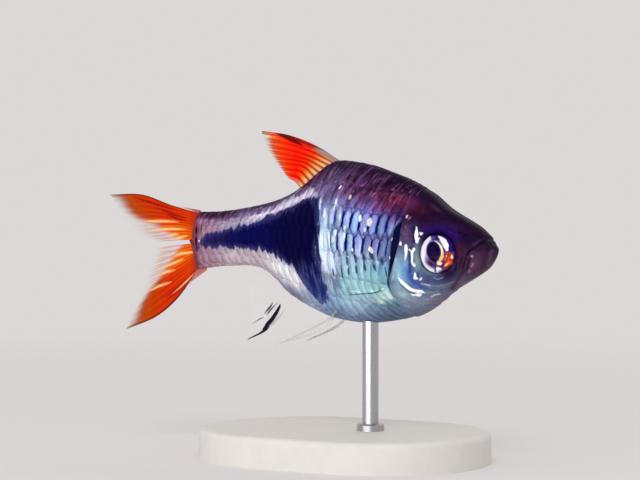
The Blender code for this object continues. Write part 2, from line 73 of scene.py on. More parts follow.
# The skin is one sheet of flesh from the lips to the root of the tail fin. It carries the mouth, the
# gill openings, the nostrils and the sockets of the eyes, and lies under the scales by their depth.
LENGTH = 34.0
SNOUT_TIP_Z = -0.9
SNOUT_ROUND = 1.3
STUMP_ROUND = 0.55
BACK = [
    (0.0, 3.05), (3.0, 3.1), (7.0, 3.6), (10.0, 4.3), (12.3, 5.35), (14.5, 6.95), (16.0, 7.85),
    (17.6, 8.0), (21.0, 7.35), (24.5, 6.15), (26.7, 4.95), (28.9, 3.15), (31.3, 1.78), (32.0, 1.37),
    (32.5, 0.98), (32.85, 0.6), (33.1, 0.22), (33.4, -0.06), (34.0, -0.5),
]
BELLY = [
    (0.0, -3.2), (1.5, -2.95), (4.2, -2.75), (7.4, -2.85), (9.4, -4.0), (11.0, -5.45), (13.5, -6.8),
    (16.6, -7.9), (20.8, -8.25), (25.0, -7.6), (27.2, -6.6), (29.7, -4.75), (32.4, -3.15), (34.0, -2.0),
]
HALF_WIDTH = [
    (0.0, 0.75), (2.0, 0.95), (5.0, 1.3), (9.0, 1.85), (12.0, 2.4), (15.0, 2.95), (19.0, 3.35),
    (23.0, 3.3), (26.0, 3.05), (29.0, 2.7), (31.0, 2.2), (32.8, 1.65), (34.0, 1.2),
]
WIDEST_HEIGHT = [(0.0, 0.0), (8.0, 0.3), (16.0, 0.2), (23.0, -0.8), (29.0, -0.9), (34.0, SNOUT_TIP_Z)]
BACK_LEANNESS = [(0.0, 1.0), (12.0, 1.15), (18.0, 1.15), (24.0, 1.0), (28.0, 0.75), (34.0, 0.85)]
BELLY_LEANNESS = [(0.0, 1.0), (12.0, 1.1), (18.0, 0.95), (24.0, 0.85), (34.0, 0.8)]
GILL_LINE = [
    (-8.2, 26.3), (-6.2, 24.9), (-4.9, 24.05), (-3.75, 24.02), (-2.8, 24.32), (-1.5, 24.75),
    (-0.25, 25.1), (1.1, 25.25), (2.1, 25.35), (4.6, 25.9), (8.5, 26.8),
]
GILL_X = 24.5
GILL_BAND = [
    (-5.9, 0.0), (-5.3, 0.15), (-4.8, 0.34), (-4.3, 0.44), (-3.6, 0.38), (-2.8, 0.5), (-1.5, 0.68),
    (-0.25, 0.92), (1.1, 0.85), (2.2, 0.1),
]
EYE_CENTRE = (28.84, 2.35, -1.25)
EYE_WIDTH = 0.94
EYE_RADIUS = 2.0
EYE_FORWARD = math.radians(8)
EYE_UP = math.radians(4)
SOCKET_RADIUS = 1.94
SOCKET_DEPTH = 1.3
MOUTH_LINE = [
    (33.7, 0.42), (33.12, 0.17), (33.1, -0.17), (32.82, -0.49), (32.5, -0.72), (31.95, -1.11), (31.7, -1.47),
]
NOSTRILS = [(31.45, 0.42), (30.95, 0.66)]
SCALE_DEPTH = 0.14
TRUNK_STATIONS = 74
HEAD_STATIONS = 150
SNOUT_STATIONS = 24
HEAD_FROM = 22.5
STUMP_SHARE = 0.05
SKIN_AROUND = 380

# The relief of the head: how far each form stands out or is sunk, and how wide it is.
LIP_RISE = 0.13
LIP_WIDTH = 0.34
MOUTH_CUT = 0.22
MOUTH_CUT_WIDTH = 0.1
ORBIT_GAP = 0.2
ORBIT_RISE = 0.14
ORBIT_WIDTH = 0.5
FLAP_RISE = 0.2
FLAP_WIDTH = 1.5
BAND_DEPTH = 0.34
NOSTRIL_RISE = 0.04
NOSTRIL_DEPTH = 0.16
PLAIN_TIP_FROM = 32.9
PLAIN_TIP_REACH = 1.1


def smooth(points, x):
    """Value at x of the smooth curve through points, which are (x, value) with x rising."""
    at, value = np.array(points, float).T
    last = len(at) - 1
    low = np.maximum(np.arange(last + 1) - 1, 0)
    high = np.minimum(np.arange(last + 1) + 1, last)
    slope = (value[high] - value[low]) / (at[high] - at[low])
    x = np.clip(x, at[0], at[-1])
    i = np.clip(np.searchsorted(at, x, side="right") - 1, 0, last - 1)
    span = at[i + 1] - at[i]
    t = (x - at[i]) / span
    ends = value[i] * (1 + 2 * t) * (1 - t) ** 2 + value[i + 1] * t * t * (3 - 2 * t)
    return ends + span * t * (1 - t) * (slope[i] * (1 - t) - slope[i + 1] * t)


def straight_lines(points, x):
    """Value at x on the straight pieces between points, which are (x, value) with x rising."""
    return np.interp(x, [at for at, _ in points], [value for _, value in points])


def step(low, high, x):
    """0 below low, 1 above high, and smooth between."""
    t = np.clip((x - low) / (high - low), 0.0, 1.0)
    return t * t * (3 - 2 * t)


def body_surface(x, angle, grow=0.0):
    """Points of the flesh at a station and an angle, 0 at the left flank and 90 degrees at the back."""
    nose = np.clip(1 - (np.maximum(x - (LENGTH - SNOUT_ROUND), 0) / SNOUT_ROUND) ** 2, 0, 1)
    stump = np.clip(1 - (np.maximum(-x, 0) / STUMP_ROUND) ** 2, 0, 1)
    cap = np.sqrt(nose * stump)
    tip = np.where(x > LENGTH / 2, SNOUT_TIP_Z, 0.0)
    middle = tip + (smooth(WIDEST_HEIGHT, x) - tip) * cap
    top = tip + (smooth(BACK, x) - tip) * cap + grow * cap
    bottom = tip + (smooth(BELLY, x) - tip) * cap - grow * cap
    half_width = (smooth(HALF_WIDTH, x) + grow) * cap
    c, s = np.cos(angle), np.sin(angle)
    lean = np.where(s > 0, smooth(BACK_LEANNESS, x), smooth(BELLY_LEANNESS, x))
    y = half_width * np.abs(c) ** lean * np.sign(c)
    z = middle + s * np.where(s > 0, top - middle, middle - bottom)
    return np.stack([x + 0 * y, y, z], axis=-1)


def gill_shift(x, z):
    """How far a station that runs straight down at x leans to follow the edge of the gill cover."""
    share = step(17.5, GILL_X, x) * (1 - step(GILL_X, 32.0, x))
    return share * (smooth(GILL_LINE, z) - GILL_X)


def off_line(x, z, line):
    """For each straight piece of a line of the side view, how far off it a place is, and its share along."""
    for (ax, az, *_), (bx, bz, *_) in zip(line, line[1:]):
        run_x, run_z = bx - ax, bz - az
        share = np.clip(((x - ax) * run_x + (z - az) * run_z) / (run_x ** 2 + run_z ** 2), 0, 1)
        yield np.hypot(x - ax - share * run_x, z - az - share * run_z), share


def distance(x, z, line):
    """Distance in side view to a line of straight pieces, in millimetres."""
    return np.min([off for off, _ in off_line(x, z, line)], axis=0)


def stroke(x, z, line, width):
    """1 along a line of the side view, fading to 0 beside it."""
    return np.exp(-((distance(x, z, line) / width) ** 2))


def brush(x, z, line, width):
    """1 along a line of the side view that thins out towards both its ends, fading to 0 beside it."""
    lengths = np.concatenate([[0.0], np.cumsum(np.hypot(*np.diff(np.array(line, float), axis=0).T))])
    found = np.zeros(np.shape(x))
    for (off, share), first, last in zip(off_line(x, z, line), lengths, lengths[1:]):
        place = (first + share * (last - first)) / lengths[-1]
        swell = np.maximum(np.sin(math.pi * place), 0)
        thin = width * (0.25 + 0.75 * swell ** 0.7)
        found = np.maximum(found, np.exp(-((off / thin) ** 2)) * (0.4 + 0.6 * swell ** 0.5))
    return found


def daub(x, z, line, soft=0.04):
    """1 inside a line of the side view whose half-width is given at each of its points, 0 outside."""
    found = np.zeros(np.shape(x))
    for (off, share), first, last in zip(off_line(x, z, line), line, line[1:]):
        found = np.maximum(found, step(soft, -soft, off - first[2] - share * (last[2] - first[2])))
    return found


def spot(x, z, at, size, lean=0.0):
    """1 at a place of the side view, fading to 0 over a size given along and across its lean."""
    dx, dz = x - at[0], z - at[1]
    c, s = math.cos(math.radians(lean)), math.sin(math.radians(lean))
    return np.exp(-(((dx * c + dz * s) / size[0]) ** 2) - ((dz * c - dx * s) / size[1]) ** 2)


def eye_middle(side):
    """Middle of an eye, on the left at side 1 and on the right at side -1."""
    return np.array((EYE_CENTRE[0], side * EYE_CENTRE[1], EYE_CENTRE[2]))


def eye_turn(side):
    """Axes of an eye: ahead, up and out of the head."""
    out = Vector((math.sin(EYE_FORWARD), side * math.cos(EYE_FORWARD), math.sin(EYE_UP))).normalized()
    ahead = Vector((1.0, 0.0, 0.0))
    ahead = (ahead - out * ahead.dot(out)).normalized()
    up = ahead.cross(out) * side
    return np.array(Matrix((ahead, up, out)))


def sheet(name, columns, rows):
    """A flat grid with an unwrap of its own. Returns it with each corner's share across and up it."""
    bpy.ops.object.select_all(action="DESELECT")
    bpy.ops.mesh.primitive_grid_add(x_subdivisions=columns, y_subdivisions=rows, size=2.0)
    piece = bpy.context.object
    piece.name = name
    piece.data.name = name
    piece.data.uv_layers[0].name = "OFBake"
    flat = np.zeros(len(piece.data.vertices) * 3, np.float32)
    piece.data.vertices.foreach_get("co", flat)
    flat = (flat.reshape(rows + 1, columns + 1, 3) + 1) / 2
    return piece, flat[..., 0], flat[..., 1]


def place(piece, points):
    """Moves a piece's corners to points in the fish's millimetres."""
    piece.data.vertices.foreach_set("co", in_row(points.reshape(-1, 3)).astype(np.float32).ravel())
    piece.data.update()


def give(piece, name, values):
    """Stores a number at each corner for the material to read."""
    made = piece.data.attributes.new(name, "FLOAT", "POINT")
    made.data.foreach_set("value", np.asarray(values, np.float32).ravel())


def give_colour(piece, name, values):
    """Stores a colour at each corner, from values as seen on a screen."""
    seen = np.clip(np.asarray(values).reshape(-1, 3), 0, 1)
    light = np.where(seen <= 0.04045, seen / 12.92, ((seen + 0.055) / 1.055) ** 2.4)
    made = piece.data.color_attributes.new(name, "FLOAT_COLOR", "POINT")
    made.data.foreach_set("color", np.c_[light, np.ones(len(light))].astype(np.float32).ravel())


def close_up(piece):
    """Merges the corners that meet and turns all faces outwards."""
    bpy.context.view_layer.objects.active = piece
    bpy.ops.object.mode_set(mode="EDIT")
    bpy.ops.mesh.select_all(action="SELECT")
    bpy.ops.mesh.remove_doubles(threshold=1e-7)
    bpy.ops.mesh.normals_make_consistent(inside=False)
    bpy.ops.object.mode_set(mode="OBJECT")
    bpy.ops.object.shade_smooth()


def band_behind(from_gill, z):
    """1 on the bare skin behind the flap of the gill cover, which is sunk and painted dark: dark skin there,
    with painted shade in the crevice under the flap.
    """
    width = straight_lines(GILL_BAND, z)
    return step(-0.12, 0.06, from_gill + width) * step(0.03, -0.03, from_gill) * step(0.02, 0.1, width)


def skin_relief(x, z, from_gill):
    """How far the skin stands out of the plain body on the head: lips, mouth, flap and nostrils."""
    mouth = distance(x, z, MOUTH_LINE)
    found = LIP_RISE * np.exp(-((mouth / LIP_WIDTH) ** 2))
    found -= MOUTH_CUT * np.exp(-((mouth / MOUTH_CUT_WIDTH) ** 2))
    found *= step(31.4, 32.0, x)
    off_eye = np.hypot((x - EYE_CENTRE[0]) / EYE_WIDTH, z - EYE_CENTRE[2]) - EYE_RADIUS - ORBIT_GAP
    found += ORBIT_RISE * np.exp(-((off_eye / ORBIT_WIDTH) ** 2))
    flap = step(2.6, 1.4, z) * step(-7.5, -5.5, z) * (from_gill >= -0.01)
    found += flap * FLAP_RISE * np.exp(-((np.maximum(from_gill, 0) / FLAP_WIDTH) ** 2))
    found -= BAND_DEPTH * band_behind(from_gill, z)
    for line, width, depth in HEAD_GROOVES:
        found -= depth * stroke(x, z, line, width)
    for at in NOSTRILS:
        found += NOSTRIL_RISE * spot(x, z, at, (0.3, 0.26)) - NOSTRIL_DEPTH * spot(x, z, at, (0.15, 0.12))
    return found


# Creases of the head's skin, as (line, width, depth). A negative depth is a rim that stands out.
CHEEK_RIM = [(25.01, -3.49), (25.36, -4.09), (25.93, -4.64), (26.51, -4.81), (27.41, -4.99)]
UNDER_EYE = [(26.9, -3.75), (27.66, -4.2), (28.4, -4.62), (29.1, -4.4), (30.1, -4.05), (31.0, -3.3)]
JAW_ARC = [
    (33.3, 0.05), (32.7, -0.4), (31.95, -1.05), (31.5, -1.95), (31.2, -2.9), (30.6, -3.7), (29.6, -4.7),
]
JAW_SLIT = [(31.98, -1.75), (31.76, -2.17), (31.5, -2.9)]
UPPER_FOLD = [(25.3, 1.3), (25.9, 1.0), (26.3, 1.15)]
MIDDLE_FOLD = [(25.3, 0.6), (25.8, 0.35), (26.4, 0.45)]
HEAD_GROOVES = [
    ([(25.5, 1.6), (25.65, -1.2), (25.6, -2.7), (26.1, -3.9), (27.1, -4.65), (28.6, -5.0)], 0.14, 0.06),
    (CHEEK_RIM, 0.2, -0.07),
    (UNDER_EYE, 0.12, 0.05),
    (JAW_ARC, 0.13, 0.06),
    (JAW_SLIT, 0.1, 0.07),
    (UPPER_FOLD, 0.1, 0.04),
    (MIDDLE_FOLD, 0.1, 0.04),
    ([(25.4, 0.0), (26.0, -0.2)], 0.1, 0.04),
    ([(26.2, -0.9), (26.25, -2.0), (26.35, -3.1)], 0.12, 0.06),
    ([(30.9, -1.0), (30.8, -2.4), (30.1, -3.2)], 0.12, 0.04),
    ([(27.2, -5.6), (28.8, -5.3), (30.0, -4.9)], 0.12, 0.05),
    ([(25.4, -5.6), (26.6, -6.0), (28.0, -6.0)], 0.14, 0.05),
    ([(28.4, 1.6), (29.6, 1.5), (30.4, 0.9)], 0.2, 0.05),
]

skin, share_along, share_around = sheet("skin", TRUNK_STATIONS + HEAD_STATIONS + SNOUT_STATIONS, SKIN_AROUND)
trunk = np.linspace(0, 1, TRUNK_STATIONS + 1)
stump = -STUMP_ROUND * np.cos(trunk / STUMP_SHARE * math.pi / 2)
head = np.arange(1, HEAD_STATIONS + 1) / HEAD_STATIONS
snout = np.arange(1, SNOUT_STATIONS + 1) / SNOUT_STATIONS
station = np.concatenate([
    np.where(trunk < STUMP_SHARE, stump, (trunk - STUMP_SHARE) / (1 - STUMP_SHARE) * HEAD_FROM),
    HEAD_FROM + (LENGTH - SNOUT_ROUND - HEAD_FROM) * head,
    LENGTH - SNOUT_ROUND + SNOUT_ROUND * np.sin(math.pi / 2 * snout),
])
nearest = np.argmin(np.abs(station - GILL_X))
station[nearest] = GILL_X
straight = np.broadcast_to(station, share_along.shape)
around = share_around * math.tau - math.pi / 2
leaning = straight
for _ in range(4):
    height = body_surface(leaning, around)[..., 2]
    leaning = straight + gill_shift(straight, height)
at_nape = step(1.9, 2.8, height)
under_scales = 1 - step(GILL_X - 0.5 + 0.7 * at_nape, GILL_X - 0.2 + 2.4 * at_nape, straight)
flesh = body_surface(leaning, around, -SCALE_DEPTH * under_scales)
side_x, side_z = flesh[..., 0], flesh[..., 2]


def outward(points):
    """The direction out of a closed surface at each of its corners."""
    along_it = np.gradient(points, axis=1)
    wrapped = np.concatenate([points[-2:-1], points, points[1:2]], axis=0)
    round_it = (wrapped[2:] - wrapped[:-2]) / 2
    normal = np.cross(along_it, round_it)
    length = np.linalg.norm(normal, axis=-1, keepdims=True)
    return -normal / np.maximum(length, 1e-9)


normal = outward(flesh)
blunt = np.sqrt(np.clip(1 - (np.maximum(leaning - PLAIN_TIP_FROM, 0) / PLAIN_TIP_REACH) ** 2, 0, 1))
relief = skin_relief(side_x, side_z, straight - GILL_X) * step(20.0, 22.0, side_x) * blunt
flesh = flesh + normal * relief[..., None]
for side in (-1, 1):
    axes = eye_turn(side)
    centre = eye_middle(side)
    local = (flesh - centre) @ axes.T
    reach = np.hypot(local[..., 0] / EYE_WIDTH, local[..., 1]) / SOCKET_RADIUS
    inside = (reach < 1) & (flesh[..., 1] * side > 0.3) & (np.abs(flesh[..., 0] - centre[0]) < 3)
    bowl = -SOCKET_DEPTH * np.sqrt(np.clip(1 - reach ** 6, 0, 1))
    local[..., 2] = np.where(inside, np.minimum(bowl, local[..., 2]), local[..., 2])
    flesh = np.where(inside[..., None], local @ axes + centre, flesh)
place(skin, flesh)

# The colours of a live fish in side view: a dark violet back, a flank that shines blue and mint, a
# navy wedge from the middle of the body to the tail, and a pale silver belly.
WEDGE_TOP = [
    (-1.0, 0.0), (0.9, 0.3), (2.5, 0.9), (4.37, 1.3), (5.86, 1.55), (7.3, 1.87), (9.25, 2.29),
    (10.41, 2.8), (12.4, 3.5), (14.1, 4.1), (15.43, 4.5), (17.5, 4.8),
]
WEDGE_BOTTOM = [
    (-1.0, -0.62), (1.34, -0.78), (4.34, -0.93), (8.73, -1.15), (9.98, -1.5), (11.83, -2.42),
    (13.2, -3.3), (14.0, -4.7), (14.86, -5.85), (16.31, -6.5), (18.0, -6.8),
]
WEDGE_FRONT = [
    (-6.9, 15.2), (-6.4, 16.5), (-5.5, 16.9), (-4.2, 16.8), (-2.94, 16.4), (-1.8, 16.1), (-0.6, 15.95),
    (0.3, 16.15), (1.2, 16.35), (2.06, 16.3), (3.2, 15.95), (4.34, 15.9), (5.2, 15.5),
]
BY_WEDGE = [
    (-8.2, (0.48, 0.55, 0.68)), (-6.0, (0.54, 0.68, 0.82)), (-4.2, (0.66, 0.77, 0.87)),
    (-3.0, (0.68, 0.76, 0.86)), (-1.0, (0.74, 0.84, 0.94)), (0.0, (0.80, 0.90, 0.98)),
    (2.0, (0.58, 0.72, 0.92)), (3.2, (0.48, 0.58, 0.80)), (4.4, (0.44, 0.41, 0.60)),
    (6.0, (0.36, 0.28, 0.44)), (8.0, (0.10, 0.05, 0.16)),
]
FLANK = [
    (-8.2, (0.42, 0.47, 0.60)), (-6.2, (0.62, 0.76, 0.86)), (-4.8, (0.66, 0.86, 0.89)),
    (-3.0, (0.57, 0.75, 0.81)), (-1.5, (0.62, 0.72, 0.86)), (1.0, (0.54, 0.70, 0.95)),
    (2.4, (0.54, 0.64, 0.93)), (3.3, (0.44, 0.39, 0.70)), (4.6, (0.37, 0.20, 0.38)),
    (5.6, (0.26, 0.13, 0.30)), (8.0, (0.08, 0.03, 0.14)),
]
BY_GILL = [
    (-8.2, (0.36, 0.40, 0.50)), (-6.4, (0.41, 0.53, 0.64)), (-4.8, (0.60, 0.80, 0.84)),
    (-3.0, (0.48, 0.70, 0.79)), (-1.6, (0.38, 0.48, 0.64)), (1.0, (0.42, 0.48, 0.69)),
    (2.1, (0.46, 0.42, 0.72)), (3.2, (0.42, 0.20, 0.42)), (4.4, (0.32, 0.13, 0.28)),
    (5.6, (0.17, 0.07, 0.20)), (8.0, (0.08, 0.03, 0.13)),
]
ABOVE_WEDGE = [
    (0.0, (0.72, 0.70, 0.82)), (0.3, (0.93, 0.91, 0.98)), (0.65, (0.84, 0.82, 0.93)),
    (1.0, (0.44, 0.38, 0.56)), (1.4, (0.22, 0.14, 0.30)), (2.2, (0.15, 0.09, 0.21)),
    (4.0, (0.10, 0.05, 0.15)),
]
BELOW_WEDGE = [
    (0.0, (0.76, 0.77, 0.87)), (0.3, (0.96, 0.96, 0.98)), (1.2, (1.00, 1.00, 1.00)),
    (1.7, (0.92, 0.92, 0.95)), (2.2, (0.72, 0.72, 0.80)), (2.8, (0.56, 0.54, 0.66)),
    (3.4, (0.46, 0.43, 0.56)),
]
NAVY = (0.01, 0.01, 0.22)
NAVY_TIP = [
    (-7.0, (0.26, 0.42, 0.66)), (-5.6, (0.15, 0.25, 0.54)), (-3.4, (0.09, 0.11, 0.38)), (-1.6, NAVY),
]
NAVY_REAR = (0.02, 0.03, 0.31)
NAVY_END = (0.15, 0.12, 0.33)
TRUNK_PATCHES = [
    ((22.0, 0.1), (1.9, 1.0), 0.75, (0.48, 0.46, 0.74)),
    ((23.9, -0.7), (0.9, 1.5), 0.8, (0.27, 0.29, 0.46)),
]


def ramp(at, stops):
    """Colour at a height, between the colours of the stops below and above it."""
    places = [stop[0] for stop in stops]
    return np.stack([np.interp(at, places, [stop[1][k] for stop in stops]) for k in range(3)], axis=-1)


def paint(ground, colour, share):
    """Lays a colour over the ground, as thick as share says."""
    return ground + (np.asarray(colour) - ground) * np.clip(share, 0, 1)[..., None]


def wedge_depth(x, z):
    """How far a place of the side view lies inside the wedge, in millimetres, and less than 0 outside."""
    found = np.minimum(smooth(WEDGE_TOP, x) - z, z - smooth(WEDGE_BOTTOM, x))
    found = np.minimum(found, smooth(WEDGE_FRONT, z) - x)
    return np.minimum(found, (x - 0.55) * 0.6)


def nape(found, x, z):
    """Darkens the top of the head and the nape behind it, round a crimson gleam."""
    found = paint(found, (0.10, 0.035, 0.15), step(4.5, 5.9, z + 0.4 * (x - 23.5)) * step(20.5, 24.0, x))
    return paint(found, (0.36, 0.09, 0.19), 0.9 * spot(x, z, (24.9, 3.35), (2.3, 0.75), -14))


def trunk_colour(x, z):
    """Colour of the trunk and the stalk without the wedge."""
    ahead = step(17.2, 19.8, x)[..., None]
    by_gill = step(20.5, 23.8, x)[..., None]
    front = ramp(z, BY_WEDGE) * (1 - ahead) + ramp(z, FLANK) * ahead
    front = nape(front * (1 - by_gill) + ramp(z, BY_GILL) * by_gill, x, z)
    mint = np.maximum(spot(x, z, (23.3, -5.35), (0.8, 0.4), -8), spot(x, z, (22.7, -5.85), (0.5, 0.3)))
    front = paint(front, (0.84, 1.0, 0.94), 0.9 * mint)
    for at, size, strength, colour in TRUNK_PATCHES:
        front = paint(front, colour, strength * spot(x, z, at, size))
    front = paint(front, (0.27, 0.12, 0.28), step(23.3, 24.6, x) * step(1.2, 2.2, z) * step(3.6, 2.8, z))
    wedge_top, wedge_bottom = smooth(WEDGE_TOP, x), smooth(WEDGE_BOTTOM, x)
    above = ramp(z - wedge_top, ABOVE_WEDGE)
    above = paint(above, (0.56, 0.50, 0.62), 0.5 * step(8.5, 5.5, x))
    below = ramp(wedge_bottom - z, BELOW_WEDGE)
    below = paint(below, (0.64, 0.72, 0.84), step(12.4, 14.0, x) * step(-4.2, -5.4, z))
    below = paint(below, (0.74, 0.66, 0.70), 0.75 * step(11.0, 7.5, x))
    upper = step(-0.3, 0.3, z - wedge_top / 2 - wedge_bottom / 2)[..., None]
    rear = below * (1 - upper) + above * upper
    rear = paint(rear, (0.62, 0.46, 0.56), 0.75 * step(4.6, 1.6, x) * step(2.4, 2.0, z))
    rear = paint(rear, (0.20, 0.09, 0.21), step(2.0, 2.5, z) * step(6.5, 3.5, x))
    rear = paint(rear, (0.48, 0.22, 0.28), 0.9 * step(0.6, 0.0, x))
    meet = step(-0.6, 0.3, x - smooth(WEDGE_FRONT, z))[..., None]
    return rear * (1 - meet) + front * meet


def wedge_colour(x, z):
    """Colour inside the wedge."""
    low_front = step(12.5, 15.0, x)[..., None]
    tip = ramp(z, NAVY_TIP) * low_front + np.array(NAVY) * (1 - low_front)
    return paint(paint(tip, NAVY_REAR, step(12.5, 8.5, x)), NAVY_END, step(6.5, 1.2, x))


def blue_zone(x, z):
    """1 on the bright blue upper flank, where the gaps between the scales are wide and painted dark."""
    return step(-2.3, -0.9, z) * step(3.6, 2.4, z) * step(16.6, 18.8, x)


def lively(x, z):
    """1 on the flank ahead of the wedge, where each scale stands out, less above it and 0 elsewhere."""
    flank = step(-3.6, -1.6, z) * step(5.0, 3.2, z)
    return step(15.5, 17.0, x) * np.maximum(flank, 0.35 * step(3.0, 4.5, z))


def top_line(x):
    """Height of the ragged edge between the bright flank and the violet back."""
    ahead = step(14.5, 17.5, x)
    return (smooth(WEDGE_TOP, x) + 0.7) * (1 - ahead) + 3.0 * ahead


def tongue(x, z):
    """1 on the lower front end of the wedge, which pale streaks run through."""
    return step(12.6, 14.2, x) * step(-1.6, -3.6, z)


def gap_colour(x, z):
    """Colour of the lines between the scales: dark pigment along their margins and painted shade in the gaps,
    darkest on the blue flank and the back.
    """
    ground = trunk_colour(x, z)
    found = ground * 0.97
    found = paint(found, (0.03, 0.10, 0.42), blue_zone(x, z))
    back = step(3.6, 4.6, z + 0.3 * np.minimum(x - 16.0, 0))
    return paint(found, ground * 0.72, back)


def rim_strength(x, z):
    """How much the edges of the scales shine, which are fine bright lines on the crimson and the violet."""
    return step(2.4, 3.4, z) * step(15.0, 18.5, x) * (0.2 + 0.8 * step(7.4, 5.6, z))


def gleam_strength(x, z):
    """How much the middle of a scale shines."""
    bright = step(-5.4, -1.6, z) * step(3.4, 2.2, z) * step(15.6, 16.4, x)
    return 0.5 * bright * (0.5 + 0.5 * step(-2.5, 0.5, z)) * (1 - 0.75 * step(20.4, 22.4, x))


# The head has no scales but bare skin, dark violet above and blue grey below. White flecks are painted along
# the front of the gill cover where its silver skin catches the light: painted highlights. A line is (points,
# width, strength, colour), a patch (at, size, lean, colour).
HEAD_GROUND = [
    (-7.4, (0.46, 0.42, 0.51)), (-6.2, (0.38, 0.43, 0.53)), (-4.8, (0.37, 0.43, 0.54)),
    (-2.5, (0.32, 0.39, 0.51)), (-0.8, (0.30, 0.32, 0.45)), (0.6, (0.20, 0.14, 0.28)),
    (1.6, (0.13, 0.06, 0.18)), (2.4, (0.08, 0.02, 0.13)), (6.0, (0.07, 0.02, 0.12)),
]
SNOUT_GROUND = [
    (-6.2, (0.46, 0.38, 0.46)), (-4.4, (0.36, 0.29, 0.38)), (-2.6, (0.25, 0.17, 0.27)),
    (-1.0, (0.19, 0.11, 0.21)), (0.1, (0.09, 0.03, 0.14)), (0.8, (0.13, 0.05, 0.14)),
    (4.0, (0.07, 0.02, 0.12)),
]
HEAD_PATCHES = [
    ((25.9, 0.7), (0.9, 1.0), 0, (0.34, 0.26, 0.40)), ((25.1, -3.0), (0.6, 1.4), -8, (0.58, 0.76, 0.82)),
    ((25.6, -2.9), (0.5, 1.2), 0, (0.48, 0.66, 0.80)), ((26.5, -3.75), (0.5, 1.2), 38, (0.22, 0.31, 0.66)),
    ((27.0, -2.0), (0.35, 1.5), -6, (0.46, 0.54, 0.58)), ((28.9, -3.75), (1.7, 0.45), 0, (0.26, 0.28, 0.45)),
    ((29.9, -3.1), (0.8, 0.55), 30, (0.14, 0.07, 0.21)), ((26.6, 0.9), (0.35, 0.7), 0, (0.22, 0.16, 0.32)),
    ((25.3, -5.2), (1.1, 0.7), -30, (0.60, 0.70, 0.74)), ((27.0, -5.9), (1.5, 0.7), 0, (0.50, 0.55, 0.64)),
    ((29.0, -6.1), (1.5, 0.7), 0, (0.50, 0.42, 0.50)), ((30.35, -0.1), (0.7, 0.9), -20, (0.12, 0.02, 0.40)),
    ((28.9, 1.0), (1.8, 0.45), 0, (0.13, 0.05, 0.34)), ((30.85, -1.2), (0.5, 0.9), 0, (0.30, 0.10, 0.16)),
    ((28.2, 3.1), (0.9, 0.16), -38, (0.30, 0.18, 0.28)), ((27.2, 2.9), (0.2, 0.5), -10, (0.22, 0.10, 0.18)),
    ((32.3, -2.2), (0.5, 1.3), -20, (0.34, 0.22, 0.31)), ((30.3, -4.4), (1.2, 0.5), 35, (0.44, 0.36, 0.44)),
]
PALE_LINES = [
    ([(27.94, -4.34), (28.65, -4.39), (29.36, -4.24), (30.06, -3.98)], 0.06, 0.6, (0.62, 0.64, 0.76)),
    ([(27.2, -4.19), (27.64, -4.25), (27.91, -4.34)], 0.08, 0.9, (0.74, 0.74, 0.88)),
    ([(28.5, -3.57), (28.81, -3.72), (29.26, -3.5)], 0.07, 0.7, (0.56, 0.63, 0.72)),
    ([(27.82, -5.43), (28.18, -5.25), (28.55, -5.19)], 0.07, 1.0, (0.88, 0.83, 0.86)),
    ([(27.49, -5.04), (28.04, -4.96), (28.68, -4.83)], 0.06, 0.5, (0.62, 0.62, 0.72)),
    # Painted highlights at the top of the gill cover.
    ([(25.72, 2.28), (25.74, 2.2)], 0.12, 1.2, (0.92, 0.80, 0.90)),
    ([(25.95, 1.95), (26.15, 2.2)], 0.06, 0.8, (0.70, 0.52, 0.66)),
    ([(24.85, -1.8), (24.6, -2.9), (24.4, -3.7)], 0.12, 0.5, (0.66, 0.80, 0.82)),
    ([(25.7, 1.2), (25.95, 0.95)], 0.09, 0.6, (0.56, 0.44, 0.60)),
    ([(25.55, 0.55), (25.9, 0.3)], 0.09, 0.6, (0.54, 0.44, 0.60)),
    ([(25.2, -6.25), (25.6, -6.27)], 0.1, 0.5, (0.66, 0.72, 0.76)),
    # Painted highlights on the upper jaw.
    ([(32.17, -1.5), (32.14, -1.58)], 0.1, 1.0, (0.74, 0.66, 0.74)),
    ([(32.15, -2.24), (31.95, -2.52)], 0.09, 0.8, (0.62, 0.50, 0.58)),
    ([(31.68, -2.9), (31.64, -3.0)], 0.15, 0.9, (0.52, 0.40, 0.48)),
    ([(33.75, -1.0), (33.6, -1.6), (33.2, -2.6), (32.5, -3.3)], 0.14, 0.5, (0.44, 0.36, 0.43)),
    ([(33.0, 0.12), (32.75, -0.12), (32.3, -0.45)], 0.07, 0.6, (0.30, 0.20, 0.36)),
    ([(32.3, -1.0), (31.95, -1.35), (31.65, -1.9), (31.5, -2.6)], 0.07, 0.5, (0.36, 0.28, 0.40)),
]
